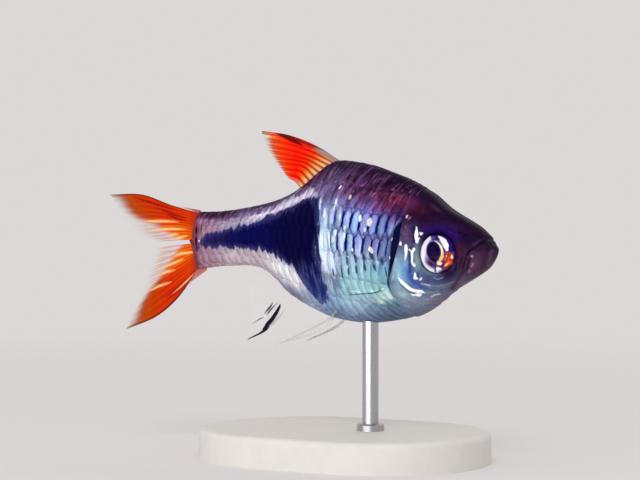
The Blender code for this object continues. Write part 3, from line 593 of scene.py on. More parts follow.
# Dark lines; those along the mouth, the jaw's arc and slit and the two folds darken creases that the relief
# carves: painted shade in them.
DARK_LINES = [
    (MOUTH_LINE, 0.08, 0.7, (0.07, 0.03, 0.11)),
    (JAW_ARC[2:], 0.12, 0.5, (0.14, 0.08, 0.17)),
    (JAW_SLIT, 0.09, 0.8, (0.12, 0.05, 0.14)),
    ([(26.21, -1.12), (26.2, -2.15), (26.12, -3.04)], 0.12, 0.85, (0.09, 0.19, 0.46)),
    ([(26.95, -3.12), (26.95, -3.6)], 0.09, 0.8, (0.16, 0.20, 0.36)),
    ([(26.36, -0.62), (26.38, -0.8)], 0.1, 0.8, (0.12, 0.12, 0.28)),
    ([(26.55, 1.2), (26.6, 0.5), (26.62, -0.2)], 0.12, 0.8, (0.10, 0.06, 0.24)),
    (UPPER_FOLD, 0.1, 0.6, (0.20, 0.13, 0.27)),
    (MIDDLE_FOLD, 0.1, 0.6, (0.22, 0.15, 0.30)),
    ([(25.1, -4.2), (25.8, -4.95), (26.5, -5.15), (27.3, -5.3)], 0.09, 0.5, (0.26, 0.30, 0.44)),
    ([(28.0, -4.85), (29.3, -4.65), (30.4, -4.2)], 0.08, 0.4, (0.26, 0.25, 0.38)),
    ([(24.9, -5.5), (26.2, -6.15), (27.8, -6.3)], 0.12, 0.35, (0.34, 0.36, 0.48)),
    ([(29.6, -4.75), (30.1, -5.1), (30.4, -5.7)], 0.12, 0.5, (0.34, 0.26, 0.34)),
    ([(30.76, -2.22), (30.49, -2.84)], 0.09, 0.8, (0.10, 0.03, 0.13)),
    ([(31.26, -1.61), (30.84, -2.74)], 0.09, 0.7, (0.12, 0.05, 0.15)),
    ([(31.65, -1.75), (31.11, -2.7)], 0.08, 0.6, (0.12, 0.05, 0.15)),
    ([(32.5, -0.95), (32.8, -1.0), (33.05, -0.85)], 0.07, 0.7, (0.09, 0.04, 0.12)),
    ([(33.3, -0.5), (33.5, -0.9)], 0.12, 0.5, (0.14, 0.04, 0.13)),
]
SILVER_GLINTS = [
    [(26.82, 1.24, 0.05), (26.84, 1.05, 0.075), (26.87, 0.54, 0.213), (26.89, 0.18, 0.175),
     (26.9, 0.03, 0.062), (26.97, -0.1, 0.163), (26.97, -0.22, 0.112)],
    [(27.03, -0.01, 0.1), (27.2, 0.18, 0.05)],
    [(27.2, 0.66, 0.05), (27.34, 0.58, 0.138), (27.54, 0.63, 0.037)],
    [(25.33, -0.2, 0.062), (25.31, -0.4, 0.125)],
    [(25.85, -0.6, 0.15), (25.85, -0.9, 0.175), (25.86, -1.25, 0.125), (25.81, -1.57, 0.1),
     (25.73, -1.86, 0.037)],
    [(26.7, -0.88, 0.125), (26.6, -1.0, 0.112), (26.47, -1.2, 0.138), (26.47, -1.7, 0.125),
     (26.41, -2.02, 0.112), (26.52, -2.34, 0.1), (26.69, -2.48, 0.088), (26.72, -2.22, 0.05)],
    [(26.16, -0.88, 0.05), (26.3, -1.02, 0.062), (26.45, -1.15, 0.075)],
    [(26.65, -3.1, 0.05), (26.63, -3.42, 0.138), (26.57, -3.65, 0.125), (26.8, -3.65, 0.1)],
    [(27.27, -3.61, 0.05), (27.16, -3.72, 0.1), (27.06, -3.82, 0.062)],
    [(24.99, -3.57, 0.05), (25.26, -3.98, 0.15), (25.65, -4.36, 0.175), (26.04, -4.72, 0.15),
     (26.57, -4.87, 0.15), (27.08, -4.9, 0.112), (27.37, -5.04, 0.025)],
    [(26.51, -5.23, 0.125), (26.75, -5.24, 0.175), (26.96, -5.17, 0.1)],
    [(26.0, -5.17, 0.037), (26.2, -5.25, 0.1), (26.34, -5.26, 0.05)],
]


def head_colour(x, z):
    """Colour of the head in side view."""
    ahead = step(29.0, 31.5, x)[..., None]
    found = ramp(z, HEAD_GROUND) * (1 - ahead) + ramp(z, SNOUT_GROUND) * ahead
    for at, size, lean, colour in HEAD_PATCHES:
        found = paint(found, colour, spot(x, z, at, size, lean))
    found = nape(found, x, z)
    ring = np.hypot((x - EYE_CENTRE[0]) / EYE_WIDTH, z - EYE_CENTRE[2])
    above = step(-0.6, 0.9, (x - EYE_CENTRE[0]) * 0.6 + (z - EYE_CENTRE[2]) * 0.8)
    found = paint(found, (0.10, 0.03, 0.26), 0.8 * above * step(2.4, 2.05, ring))
    # Pale and dark lines: the dark ones in the creases are painted shade, and the pale spots on the jaw and
    # atop the gill cover are painted highlights.
    for line, width, strength, colour in PALE_LINES + DARK_LINES:
        found = paint(found, colour, strength * stroke(x, z, line, width))
    for at in NOSTRILS:
        found = paint(found, (0.05, 0.02, 0.10), 0.4 * spot(x, z, at, (0.24, 0.18)))
    # Painted highlights: white flecks where the silver skin of the gill cover catches the light.
    for line in SILVER_GLINTS:
        found = paint(found, (0.97, 1.0, 1.0), daub(x, z, line))
    return found


def place_on_side(x, z, from_gill):
    """Ground colour of the whole skin, head and trunk together."""
    soft = step(2.2, 3.4, z)
    on_head = step(-0.05 - 0.5 * soft, 0.05 + 2.2 * soft, from_gill)[..., None]
    found = trunk_colour(x, z) * (1 - on_head) + head_colour(x, z) * on_head
    # The band behind the gill flap is painted dark navy: the dark skin there, and painted shade in the sunk
    # crevice under the flap.
    return paint(found, (0.05, 0.06, 0.24), band_behind(from_gill, z))


give_colour(skin, "marking", place_on_side(side_x, side_z, straight - GILL_X))
give_colour(skin, "navy", wedge_colour(side_x, side_z))
give(skin, "wedge", wedge_depth(side_x, side_z))
close_up(skin)


def material(name, roughness, metallic=0.0, shine=0.5):
    """A new material. Returns it and its shader."""
    made = bpy.data.materials.new(name)
    made.use_nodes = True
    shader = made.node_tree.nodes["Principled BSDF"]
    shader.inputs["Roughness"].default_value = roughness
    shader.inputs["Metallic"].default_value = metallic
    shader.inputs["Specular IOR Level"].default_value = shine
    return made, shader


def read(look, name, output="Color"):
    """A node that reads a stored colour or number."""
    node = look.node_tree.nodes.new("ShaderNodeAttribute")
    node.attribute_name = name
    return node.outputs[output]


def calculate(look, operation, *sources):
    """A math node on sources, which are sockets or numbers."""
    node = look.node_tree.nodes.new("ShaderNodeMath")
    node.operation = operation
    for socket, source in zip(node.inputs, sources):
        if isinstance(source, (int, float)):
            socket.default_value = source
        else:
            look.node_tree.links.new(source, socket)
    return node.outputs[0]


def mixed(look, share, first, second):
    """A colour between two, which are sockets or colours as numbers."""
    node = look.node_tree.nodes.new("ShaderNodeMix")
    node.data_type = "RGBA"
    sockets = (node.inputs["Factor"], node.inputs[6], node.inputs[7])
    for socket, source in zip(sockets, (share, first, second)):
        if isinstance(source, (int, float)):
            socket.default_value = source
        elif isinstance(source, tuple):
            socket.default_value = (*source, 1.0)
        else:
            look.node_tree.links.new(source, socket)
    return node.outputs[2]


def stepped(look, source, low, high):
    """0 where source is under low, 1 where it is over high, and smooth between."""
    node = look.node_tree.nodes.new("ShaderNodeMapRange")
    node.interpolation_type = "SMOOTHSTEP"
    look.node_tree.links.new(source, node.inputs["Value"])
    node.inputs["From Min"].default_value = low
    node.inputs["From Max"].default_value = high
    return node.outputs["Result"]


def noise(look, scale, detail=3.0, stretch=(1.0, 1.0, 1.0), lean=0.0):
    """Noise on the piece's own place in the model, in turns for each metre, along a lean in side view."""
    nodes, links = look.node_tree.nodes, look.node_tree.links
    where = nodes.new("ShaderNodeTexCoord")
    spread = nodes.new("ShaderNodeMapping")
    spread.vector_type = "TEXTURE"
    spread.inputs["Rotation"].default_value = (0.0, math.radians(lean), 0.0)
    spread.inputs["Scale"].default_value = [1 / share for share in stretch]
    links.new(where.outputs["Object"], spread.inputs["Vector"])
    made = nodes.new("ShaderNodeTexNoise")
    made.inputs["Scale"].default_value = scale
    made.inputs["Detail"].default_value = detail
    links.new(spread.outputs["Vector"], made.inputs["Vector"])
    return made.outputs["Fac"]


def bump(look, shader, height, distance, strength=0.5):
    """Small relief from a height socket, as deep as distance in metres."""
    node = look.node_tree.nodes.new("ShaderNodeBump")
    node.inputs["Distance"].default_value = distance
    node.inputs["Strength"].default_value = strength
    look.node_tree.links.new(height, node.inputs["Height"])
    look.node_tree.links.new(node.outputs["Normal"], shader.inputs["Normal"])


def shaded(look, shader, colour, grain, depth):
    """Uses a colour for the surface, made uneven by a noise that darkens and lightens it by depth."""
    node = look.node_tree.nodes.new("ShaderNodeVectorMath")
    node.operation = "SCALE"
    look.node_tree.links.new(colour, node.inputs[0])
    uneven = calculate(look, "MULTIPLY", calculate(look, "SUBTRACT", grain, 0.5), depth)
    look.node_tree.links.new(calculate(look, "ADD", uneven, 1.0), node.inputs["Scale"])
    look.node_tree.links.new(node.outputs[0], shader.inputs["Base Color"])


def ovals(look, places, soft):
    """1 inside any of some uneven ovals of the side view, which are (middle, half-sizes, lean)."""
    where = look.node_tree.nodes.new("ShaderNodeTexCoord").outputs["Object"]
    rough = calculate(look, "MULTIPLY_ADD", noise(look, 3400.0, 2.0), 0.9, -0.45)
    found = None
    for at, size, lean in places:
        turned = look.node_tree.nodes.new("ShaderNodeMapping")
        turned.vector_type = "TEXTURE"
        turned.inputs["Location"].default_value = in_row((at[0], 0.0, at[1]))
        turned.inputs["Rotation"].default_value = (0.0, math.radians(lean), 0.0)
        turned.inputs["Scale"].default_value = (size[0] * MM, 1.0, size[1] * MM)
        look.node_tree.links.new(where, turned.inputs["Vector"])
        off = look.node_tree.nodes.new("ShaderNodeVectorMath")
        off.operation = "LENGTH"
        look.node_tree.links.new(turned.outputs[0], off.inputs[0])
        inside = stepped(look, calculate(look, "ADD", off.outputs["Value"], rough), 1 + soft, 1 - soft)
        found = inside if found is None else calculate(look, "MAXIMUM", found, inside)
    return found


ROOT_MARKS = [
    ((0.05, 0.98), (0.15, 0.42), 0), ((0.08, -0.12), (0.15, 0.42), 0), ((0.14, -0.85), (0.13, 0.3), 0),
    ((0.73, 1.3), (0.06, 0.55), 4),
]
skin_look, shader = material("wet_skin", 0.36, metallic=0.15, shine=0.03)
shader.inputs["Specular Tint"].default_value = (0.40, 0.22, 0.30, 1.0)
ground = mixed(skin_look, stepped(skin_look, read(skin_look, "wedge", "Fac"), -0.08, 0.08),
               read(skin_look, "marking"), read(skin_look, "navy"))
mottled = calculate(skin_look, "MULTIPLY", stepped(skin_look, noise(skin_look, 3000.0, 3.0), 0.5, 0.72), 0.10)
ground = mixed(skin_look, mottled, ground, (0.05, 0.03, 0.09))
ground = mixed(skin_look, ovals(skin_look, ROOT_MARKS, 0.5), ground, (0.03, 0.0, 0.01))
shaded(skin_look, shader, ground, noise(skin_look, 1900.0, 5.0), 0.85)
bump(skin_look, shader, noise(skin_look, 2600.0, 5.0), 0.00004, 0.5)
skin.data.materials.append(skin_look)
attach(skin, "root")
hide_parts("head", "lower_jaw", "torso", "tail_stalk", "gill_cover_left", "gill_cover_right")

# The scales are thin clear plates of bone. Each is rooted at its front under the one ahead and lies
# back over the next, in up to eleven rows on each flank that run out towards the tail.
SCALE_PITCH = 0.84
ROW_PITCH = [(-0.5, 0.98), (4.0, 1.02), (8.0, 1.3), (12.0, 1.8), (16.0, 2.2), (25.0, 2.2)]
SCALE_REACH = 2.3
SCALE_OVERLAP = 1.26
SCALE_THICK = 0.035
SCALE_ROOT = -0.05
SCALE_LIFT = 0.12
SCALE_ACROSS = 6
SCALE_ALONG = 3
ROWS_EACH_WAY = 5
LEAN = 0.36
PATCH = 0.003
AHEAD_OF_SITE = 0.55
DISH = 0.045
RISE_ON_BODY = 0.36
TURN_LUCK = 0.06
SIZE_LUCK = 0.035
RISE_LUCK = 0.18
PLACE_LUCK = 0.03

# Marks on the scales, as (middle, half-sizes, lean): white glints, which are painted highlights where scales
# catch the light, pale patches, blue fingers that reach down into the mint of the flank, and the dark commas
# between them.
GLINTS = [
    ((19.49, 4.18), (0.15, 0.24), 20), ((21.88, 1.75), (0.27, 0.42), 0), ((20.85, 2.1), (0.15, 0.34), 0),
    ((19.18, 1.2), (0.13, 0.22), 20), ((18.21, 0.75), (0.12, 0.3), 0), ((22.12, -0.95), (0.22, 0.34), -35),
    ((18.16, 5.16), (0.07, 0.2), 35), ((24.33, 0.12), (0.08, 0.22), 35), ((17.85, 0.0), (0.13, 0.36), 0),
    ((20.1, -0.95), (0.11, 0.13), 0), ((21.4, 0.95), (0.08, 0.18), 0), ((16.75, 2.7), (0.12, 0.5), 0),
    ((24.0, -3.1), (0.06, 0.5), -8), ((24.05, -1.75), (0.06, 0.16), 0), ((0.48, -0.11), (0.09, 0.12), 0),
]
PALE_MARKS = [
    ((17.9, 3.55), (0.1, 0.55), 12), ((16.1, 3.6), (0.1, 0.5), 0), ((23.15, -5.35), (0.46, 0.4), 0),
    ((20.3, -5.02), (0.8, 0.09), 3), ((21.9, -4.92), (0.9, 0.09), 3), ((22.6, -6.0), (0.3, 0.2), 0),
    ((23.75, -5.5), (0.3, 0.22), 0), ((16.35, 0.3), (0.1, 0.5), 0), ((16.4, -1.4), (0.09, 0.45), 0),
    ((17.1, 2.0), (0.1, 0.45), 3), ((17.0, -0.6), (0.1, 0.5), 0), ((19.2, 0.6), (0.1, 0.5), 0),
    ((16.9, -2.7), (0.09, 0.5), -5), ((17.4, -4.2), (0.1, 0.4), -8), ((18.6, 2.3), (0.1, 0.4), 6),
]
FINGERS = [
    ((19.9, -1.75), (0.14, 0.5), -4), ((20.85, -1.6), (0.15, 0.48), -6), ((21.75, -1.7), (0.15, 0.46), -6),
    ((22.7, -1.95), (0.15, 0.5), -8), ((18.9, -1.6), (0.13, 0.5), 0), ((18.1, -2.4), (0.12, 0.6), 0),
    ((19.15, -2.9), (0.1, 0.4), -3), ((20.0, -2.9), (0.1, 0.4), -3), ((20.95, -2.8), (0.1, 0.3), -3),
]
COMMAS = [
    ((19.44, -2.0), (0.15, 0.46), -3), ((20.39, -1.8), (0.18, 0.46), -14), ((21.3, -1.75), (0.18, 0.38), -3),
    ((22.2, -1.55), (0.18, 0.36), -18), ((23.25, -2.05), (0.17, 0.4), -8), ((19.54, -3.1), (0.12, 0.5), 0),
    ((18.77, -3.1), (0.1, 0.6), -4), ((20.43, -2.87), (0.14, 0.46), -3), ((21.38, -2.62), (0.16, 0.44), -12),
    ((22.42, -2.6), (0.14, 0.42), -18), ((17.75, -3.15), (0.09, 0.5), -4), ((23.6, -3.0), (0.08, 0.5), -6),
]


def chevron(s, row_s):
    """How far ahead a place stands in a row of scales, which lean ahead above and below the mid flank."""
    lean = LEAN * step(1.4, 3.6, np.abs(row_s))
    return LEAN * np.maximum(np.abs(row_s) - 2.3, 0) + lean * (np.abs(s) - np.abs(row_s))


arc_stations = np.linspace(-0.5, 28.0, 115)
arc_angles = np.radians(np.linspace(-90, 90, 181))
arc_points = body_surface(arc_stations[:, None], arc_angles[None, :], -SCALE_DEPTH)
arc_steps = np.linalg.norm(np.diff(arc_points[..., 1:], axis=1), axis=2)
arc_length = np.concatenate([np.zeros((len(arc_stations), 1)), np.cumsum(arc_steps, axis=1)], axis=1)
arc_length -= arc_length[:, 90:91]


def angle_at(x, s):
    """Angle of the place that lies s millimetres up the flank from its widest line, at station x."""
    at = np.clip((x - arc_stations[0]) / (arc_stations[1] - arc_stations[0]), 0, len(arc_stations) - 1.001)
    low = at.astype(int)
    share = at - low
    found = np.zeros(x.shape)
    for k in range(len(arc_stations) - 1):
        here = low == k
        if here.any():
            near = np.interp(s[here], arc_length[k], arc_angles)
            far = np.interp(s[here], arc_length[k + 1], arc_angles)
            found[here] = near + (far - near) * share[here]
    return found


def one_scale():
    """A single scale as a closed plate. Returns its corners as (back, up, out) and its faces."""
    piece, back, up = sheet("one_scale", SCALE_ALONG, SCALE_ACROSS)
    flat = np.stack([back, up, 0 * back], axis=-1).reshape(-1, 3).astype(np.float32)
    piece.data.vertices.foreach_set("co", flat.ravel())
    thick = piece.modifiers.new("thickness", "SOLIDIFY")
    thick.thickness = 0.5
    thick.offset = -1.0
    bpy.ops.object.modifier_apply(modifier="thickness")
    corners = np.array([v.co for v in piece.data.vertices])
    faces = [tuple(face.vertices) for face in piece.data.polygons]
    mesh = piece.data
    bpy.data.objects.remove(piece)
    bpy.data.meshes.remove(mesh)
    return corners, faces


scale_corners, scale_faces = one_scale()


def site_x(row, column):
    """Station of a scale before its row leans. Every second row stands half a scale further back."""
    return GILL_X - 0.1 - SCALE_PITCH * (column + 0.5 * (row % 2))


def scale_sites():
    """Row and column of every scale on one flank, from the gill opening to the tail."""
    found = []
    for row in range(-ROWS_EACH_WAY, ROWS_EACH_WAY + 1):
        for column in range(-3, 32):
            x = site_x(row, column)
            s = row * smooth(ROW_PITCH, np.array(x))
            x = x + chevron(s, s)
            rim = np.interp(x, arc_stations, arc_length[:, -1 if row > 0 else 0])
            z = body_surface(x, angle_at(np.array([x]), np.array([s]))[0])[2]
            front = GILL_X - straight_lines(GILL_BAND, z) + 0.5 + 0.9 * (z > 2)
            if abs(s) < abs(rim) + 0.1 and -0.2 < x < front:
                found.append((row, column))
    return found


def store_looks(piece, points, x0, root_z, luck):
    """Stores what the material reads on a coat of scales: its colours, and where each mark shows."""
    x, z = points[..., 0], points[..., 2]
    share = 0.25 + 0.75 * lively(x0, root_z)
    tone = 1 + share * luck.normal(0, 0.06, x0.shape)
    hue = share * luck.normal(0, 0.05, x0.shape)
    bright = np.stack([tone + hue, tone - 0.3 * hue, tone], axis=-1)
    edge_z = top_line(x)
    upper = step(-1.2, -0.6, z - edge_z)
    by_wedge = step(20.0, 17.5, x) * step(15.2, 16.2, x) * step(-6.0, -4.0, z)
    middle_x, middle_z = x.mean(axis=1, keepdims=True), z.mean(axis=1, keepdims=True)
    gleam = luck.uniform(0.2, 1.0, x0.shape) * gleam_strength(middle_x, middle_z)
    shine = paint(trunk_colour(x, z), (0.90, 0.66, 0.84), np.full(x.shape, 0.42))
    for name, colours in (
        ("marking", trunk_colour(x, np.minimum(z, edge_z)) * bright),
        ("plum", trunk_colour(x, np.maximum(z, edge_z + 0.45)) * bright),
        ("gap", gap_colour(x, z)), ("navy", wedge_colour(x, z) * bright), ("edge", shine),
    ):
        give_colour(piece, name, colours)
    for name, values in (
        ("over", z - edge_z), ("upper", upper), ("wedge", wedge_depth(x, z)), ("rim", rim_strength(x, z)),
        ("depth", 0.35 + 0.75 * step(-0.6, 0.6, z - edge_z) + 0.35 * by_wedge * (1 - upper)),
        ("strand", np.clip(by_wedge + 0.25 * step(15.2, 16.2, x), 0, 1) * (1 - upper)),
        ("gape", blue_zone(x, z)), ("gleam", gleam + 0 * z), ("tongue", tongue(x, z)),
    ):
        give(piece, name, values)


def scale_coat(name, side, seed):
    """All the scales of one flank in one mesh."""
    luck = np.random.default_rng(seed)
    sites = np.array(scale_sites())
    rows, columns = sites[:, :1], sites[:, 1:]
    back = scale_corners[None, :, 0]
    across = (scale_corners[None, :, 1] - 0.5) * 2
    below = scale_corners[None, :, 2] < -0.1
    turn = luck.normal(0, TURN_LUCK, rows.shape)
    size = luck.normal(1, SIZE_LUCK, rows.shape)
    rise = luck.normal(1, RISE_LUCK, rows.shape)
    ragged = luck.uniform(-0.4, 0.9, rows.shape)
    x0 = site_x(rows, columns) + luck.normal(0, PLACE_LUCK, rows.shape)
    pitch = smooth(ROW_PITCH, x0)
    rounding = 0.5 * (1 - np.sqrt(1 - 0.8 * across ** 2))
    reach = SCALE_REACH * size * (back - AHEAD_OF_SITE) - rounding * (0.35 + 0.65 * back)
    half = pitch * SCALE_OVERLAP / 2 * (1 - 0.16 * (1 - back) - 0.1 * back ** 6)
    row_s = rows * pitch
    s = row_s + across * half * size + turn * reach
    straight_x = x0 - reach + chevron(s, row_s)
    x, angle = straight_x, angle_at(straight_x, s)
    for _ in range(2):
        z = body_surface(x, angle, -SCALE_DEPTH)[..., 2]
        front = GILL_X - straight_lines(GILL_BAND, z) + ragged * step(1.0, 2.0, z)
        stopped = np.minimum(straight_x, front + 0.05 * (straight_x - front))
        x = stopped + gill_shift(stopped, z)
        angle = angle_at(x, s)
    root_z = z.mean(axis=1, keepdims=True)
    rise = rise * (RISE_ON_BODY + (1 - RISE_ON_BODY) * lively(x0, root_z))
    height = SCALE_ROOT + (SCALE_LIFT * rise - SCALE_ROOT) * back ** 0.8 - DISH * rise * across ** 2
    points = body_surface(x, angle, height - SCALE_THICK * below - SCALE_DEPTH)
    points[..., 1] *= side

    count, corners = x.shape
    order = slice(None) if side > 0 else slice(None, None, -1)
    faces = (np.array(scale_faces)[None] + corners * np.arange(count)[:, None, None]).reshape(-1, 4)[:, order]
    mesh = bpy.data.meshes.new(name)
    mesh.from_pydata(in_row(points.reshape(-1, 3)), [], faces.tolist())
    walls = np.arange(len(scale_faces)) >= 2 * SCALE_ACROSS * SCALE_ALONG
    low = (root_z < -2.0) & (x0 > 14.0)
    mesh.polygons.foreach_set("use_smooth", (~(walls & low)).ravel())
    piece = bpy.data.objects.new(name, mesh)
    bpy.context.scene.collection.objects.link(piece)

    root_x, root_angle = x0 + chevron(row_s, row_s), angle_at(x0, row_s)
    root_u = np.interp(root_x, station, np.linspace(0, 1, len(station)))
    root_v = (np.where(side > 0, root_angle, math.pi - root_angle) + math.pi / 2) / math.tau
    patch = np.stack([root_u + (back - 0.5) * PATCH, root_v + across / 2 * PATCH], axis=-1).reshape(-1, 2)
    lay = np.stack([reach / SCALE_PITCH + 0 * s, across + 0 * s], axis=-1).reshape(-1, 2)
    for layer, values in (("OFBake", patch), ("lay", lay)):
        made = mesh.uv_layers.new(name=layer)
        made.uv.foreach_set("vector", values[faces.ravel()].astype(np.float32).ravel())
    store_looks(piece, points, x0, root_z, luck)
    return piece


# The plates are clear. Their look works in their own unwrap, named lay: how far back of its root a place
# is, in pitches, and how far off its row. A hexagon of each plate shows, with a gap in the ground's colour.
scale_look, shader = material("clear_scales", 0.34, metallic=0.3, shine=0.025)
shader.inputs["Specular Tint"].default_value = (0.62, 0.50, 0.66, 1.0)
stored = partial(read, scale_look)
reckon = partial(calculate, scale_look)
between = partial(mixed, scale_look)
ease = partial(stepped, scale_look)
speckle = partial(noise, scale_look)
lay = scale_look.node_tree.nodes.new("ShaderNodeUVMap")
lay.uv_map = "lay"
split = scale_look.node_tree.nodes.new("ShaderNodeSeparateXYZ")
scale_look.node_tree.links.new(lay.outputs[0], split.inputs[0])
along_scale = reckon("ADD", split.outputs[0], reckon("MULTIPLY_ADD", speckle(1500.0, 3.0), 0.4, -0.3))
off_row = reckon("ADD", split.outputs[1], reckon("MULTIPLY_ADD", speckle(1250.0, 2.0), 0.7, -0.35))
from_row = reckon("ABSOLUTE", off_row)
behind = reckon("SUBTRACT", reckon("FRACT", along_scale), 0.5)
beside = reckon("SUBTRACT", reckon("FRACT", reckon("ADD", along_scale, 0.5)), 0.5)
rising = speckle(1700.0, 3.0, (1.0, 1.0, 0.26), 24.0)
hanging = speckle(2100.0, 3.0, (1.0, 1.0, 0.16), -6.0)
lifted = reckon("MULTIPLY", reckon("SUBTRACT", rising, hanging), stored("upper", "Fac"))
streak = reckon("ADD", hanging, lifted)


def hexagon(off_middle, slope, start):
    """How far inside the visible part of a scale a place lies, in lengths of the pitch."""
    wide = reckon("MINIMUM", reckon("MULTIPLY_ADD", from_row, slope, start), 0.45)
    return reckon("SUBTRACT", wide, reckon("ABSOLUTE", off_middle))


inward = reckon("MAXIMUM", hexagon(behind, -0.75, 0.84), hexagon(beside, 0.75, -0.36))
inward = reckon("MULTIPLY_ADD", stored("gape", "Fac"), -0.08, inward)
closed = reckon("MULTIPLY", ease(from_row, 0.45, 0.85), 0.5)
body = reckon("MAXIMUM", ease(inward, -0.03, 0.07), closed)
core = reckon("MULTIPLY", ease(inward, 0.02, 0.36), stored("gleam", "Fac"))
rim = ease(reckon("ABSOLUTE", reckon("SUBTRACT", inward, 0.02)), 0.08, 0.0)
rim_shows = (
    stored("rim", "Fac"), ease(reckon("MULTIPLY", behind, split.outputs[1]), -0.02, 0.08),
    ease(from_row, 0.95, 0.6), ease(streak, 0.36, 0.56),
)
for share in rim_shows:
    rim = reckon("MULTIPLY", rim, share)

above = reckon("ADD", reckon("MULTIPLY_ADD", streak, 3.2, -1.6), stored("over", "Fac"))
above = ease(above, -0.1, 0.3)
dark = reckon("MULTIPLY", ease(hanging, 0.47, 0.36), stored("strand", "Fac"))
thread = reckon("MULTIPLY", ease(speckle(3600.0, 2.0, (1.0, 0.1, 0.1), 24.0), 0.5, 0.66), above)
ground = between(reckon("MULTIPLY", dark, 0.75), stored("marking"), (0.16, 0.24, 0.50))
ground = between(above, ground, stored("plum"))
ground = between(reckon("MULTIPLY", thread, 0.45), ground, stored("edge"))
# Outside each plate's hexagon the gap colour shows: dark margin pigment and painted shade between the scales.
ground = between(body, stored("gap"), ground)
ground = between(core, ground, (0.78, 0.90, 1.0))
ground = between(rim, ground, stored("edge"))
# Marks over the scales; the white glints among them are painted highlights.
for places, soft, strength, colour in (
    (PALE_MARKS, 0.5, 0.85, (0.70, 0.92, 0.90)),
    (FINGERS, 0.5, 0.7, (0.55, 0.66, 0.88)),
    (COMMAS, 0.35, 0.92, (0.02, 0.06, 0.12)),
    (ROOT_MARKS, 0.5, 1.0, (0.05, 0.0, 0.01)),
    (GLINTS, 0.25, 1.0, (1.0, 1.0, 1.0)),
):
    ground = between(reckon("MULTIPLY", ovals(scale_look, places, soft), strength), ground, colour)

jagged = reckon("ADD", reckon("MULTIPLY_ADD", streak, 1.9, -0.95), stored("wedge", "Fac"))
# In the wedge the gaps between the plates are darkened too: dark margins and painted shade.
navy = between(reckon("MULTIPLY_ADD", body, 0.3, 0.65), (0.0, 0.0, 0.03), stored("navy"))
navy = between(reckon("MULTIPLY", ease(jagged, 0.75, 0.2), 0.45), navy, (0.06, 0.06, 0.24))
pale = reckon("MULTIPLY", ease(streak, 0.47, 0.6), stored("tongue", "Fac"))
navy = between(reckon("MULTIPLY", pale, 0.5), navy, (0.11, 0.14, 0.36))
ground = between(ease(jagged, -0.02, 0.22), ground, navy)
fine = reckon("MULTIPLY_ADD", ease(streak, 0.34, 0.66), 0.7, -0.45)
fine = reckon("MULTIPLY_ADD", speckle(3600.0, 3.0), 1.2, fine)
shaded(scale_look, shader, ground, fine, stored("depth", "Fac"))
bump(scale_look, shader, speckle(3200.0, 3.0), 0.00003, 0.5)
for name, side, seed in (("scales_right", -1, 3), ("scales_left", 1, 4)):
    coat = scale_coat(name, side, seed)
    coat.data.materials.append(scale_look)
    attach(coat, "root")

# Each eye is a ball that is nearly flat in front: a silver iris with a slightly oval pupil, and a
# clear cornea over it. It sits in its socket without lids, and its rim is bare skin.
EYE_RINGS = 90
EYE_SECTORS = 200
CORNEA_RINGS = 40
BALL_FRONT = 0.85
EYE_BACK = 1.15
BALL_RADIUS = 1.9
CORNEA_RISE = 0.62
CORNEA_THICK = 0.05
IRIS_RISE = 0.42
PUPIL_AT = (-0.35, 0.0)
PUPIL = (0.70, 0.95)
IRIS_AT = (-0.05, -0.13)
IRIS = (1.73, 1.86)
IRIS_SHIFT = (0.06, 0.1)
WHITE = (0.97, 0.96, 1.0)
DARK_VIOLET = (0.10, 0.04, 0.18)

# Marks on the iris, in millimetres ahead of its middle and above it, with half the width of each point:
# a cream ring ahead of the pupil, an orange patch low in front, and the highlights and dark lines.
CREAM_RING = [
    (-0.26, 0.98, 0.02), (0.08, 0.78, 0.09), (0.38, 0.42, 0.13), (0.5, -0.05, 0.14), (0.46, -0.5, 0.16),
    (0.2, -0.85, 0.15), (-0.02, -1.0, 0.06),
]
ORANGE_PATCH = [(0.98, -0.05, 0.14), (1.22, -0.5, 0.4), (1.12, -1.0, 0.46), (0.85, -1.42, 0.24)]
WHITE_DEPTH = [(114, 0.86), (150, 0.72), (170, 0.64), (193, 0.70), (214, 0.86), (247, 0.84), (262, 0.88)]
UPPER_MARKS = [
    (WHITE, 1.0, 0.05, [
        (0.04, 1.48, 0.06), (0.3, 1.3, 0.16), (0.62, 1.0, 0.25), (0.85, 0.58, 0.25), (0.95, 0.2, 0.13)]),
    (DARK_VIOLET, 1.0, 0.04, [
        (-0.13, 1.22, 0.03), (0.35, 0.74, 0.05), (0.62, 0.2, 0.04), (0.66, -0.3, 0.02)]),
]
LOWER_MARKS = [
    ((0.50, 0.09, 0.06), 0.8, 0.06, [(1.1, -0.2, 0.05), (0.95, -0.75, 0.07), (0.7, -1.1, 0.04)]),
    ((1.0, 0.92, 0.90), 1.0, 0.04, [(1.41, -0.22, 0.02), (1.42, -0.5, 0.12)]),
    ((1.0, 0.80, 0.70), 1.0, 0.04, [(1.09, -1.03, 0.03), (0.92, -1.18, 0.1), (0.75, -1.34, 0.04)]),
    (DARK_VIOLET, 1.0, 0.04, [
        (-0.13, -0.98, 0.05), (0.08, -1.28, 0.06), (0.42, -1.41, 0.06), (0.61, -1.2, 0.05),
        (0.7, -0.87, 0.03)]),
    ((1.0, 0.93, 0.83), 1.0, 0.04, [(0.06, -1.14, 0.07), (0.28, -1.13, 0.14), (0.45, -1.08, 0.06)]),
    (DARK_VIOLET, 1.0, 0.04, [(-0.19, -0.95, 0.05), (-0.16, -1.6, 0.07), (-0.15, -1.85, 0.05)]),
    (WHITE, 1.0, 0.04, [(0.0, -1.86, 0.07), (0.02, -1.6, 0.13), (0.2, -1.6, 0.1), (0.43, -1.62, 0.03)]),
]


def ring_part(way, first, last, soft=8.0):
    """1 between two directions round the eye, in degrees from ahead turning up, and 0 elsewhere."""
    turned = (way - first) % 360.0
    width = (last - first) % 360.0
    ahead = step(360 - soft, 360 + soft, turned)
    return step(-soft, soft, turned) * step(width + soft, width - soft, turned) + ahead


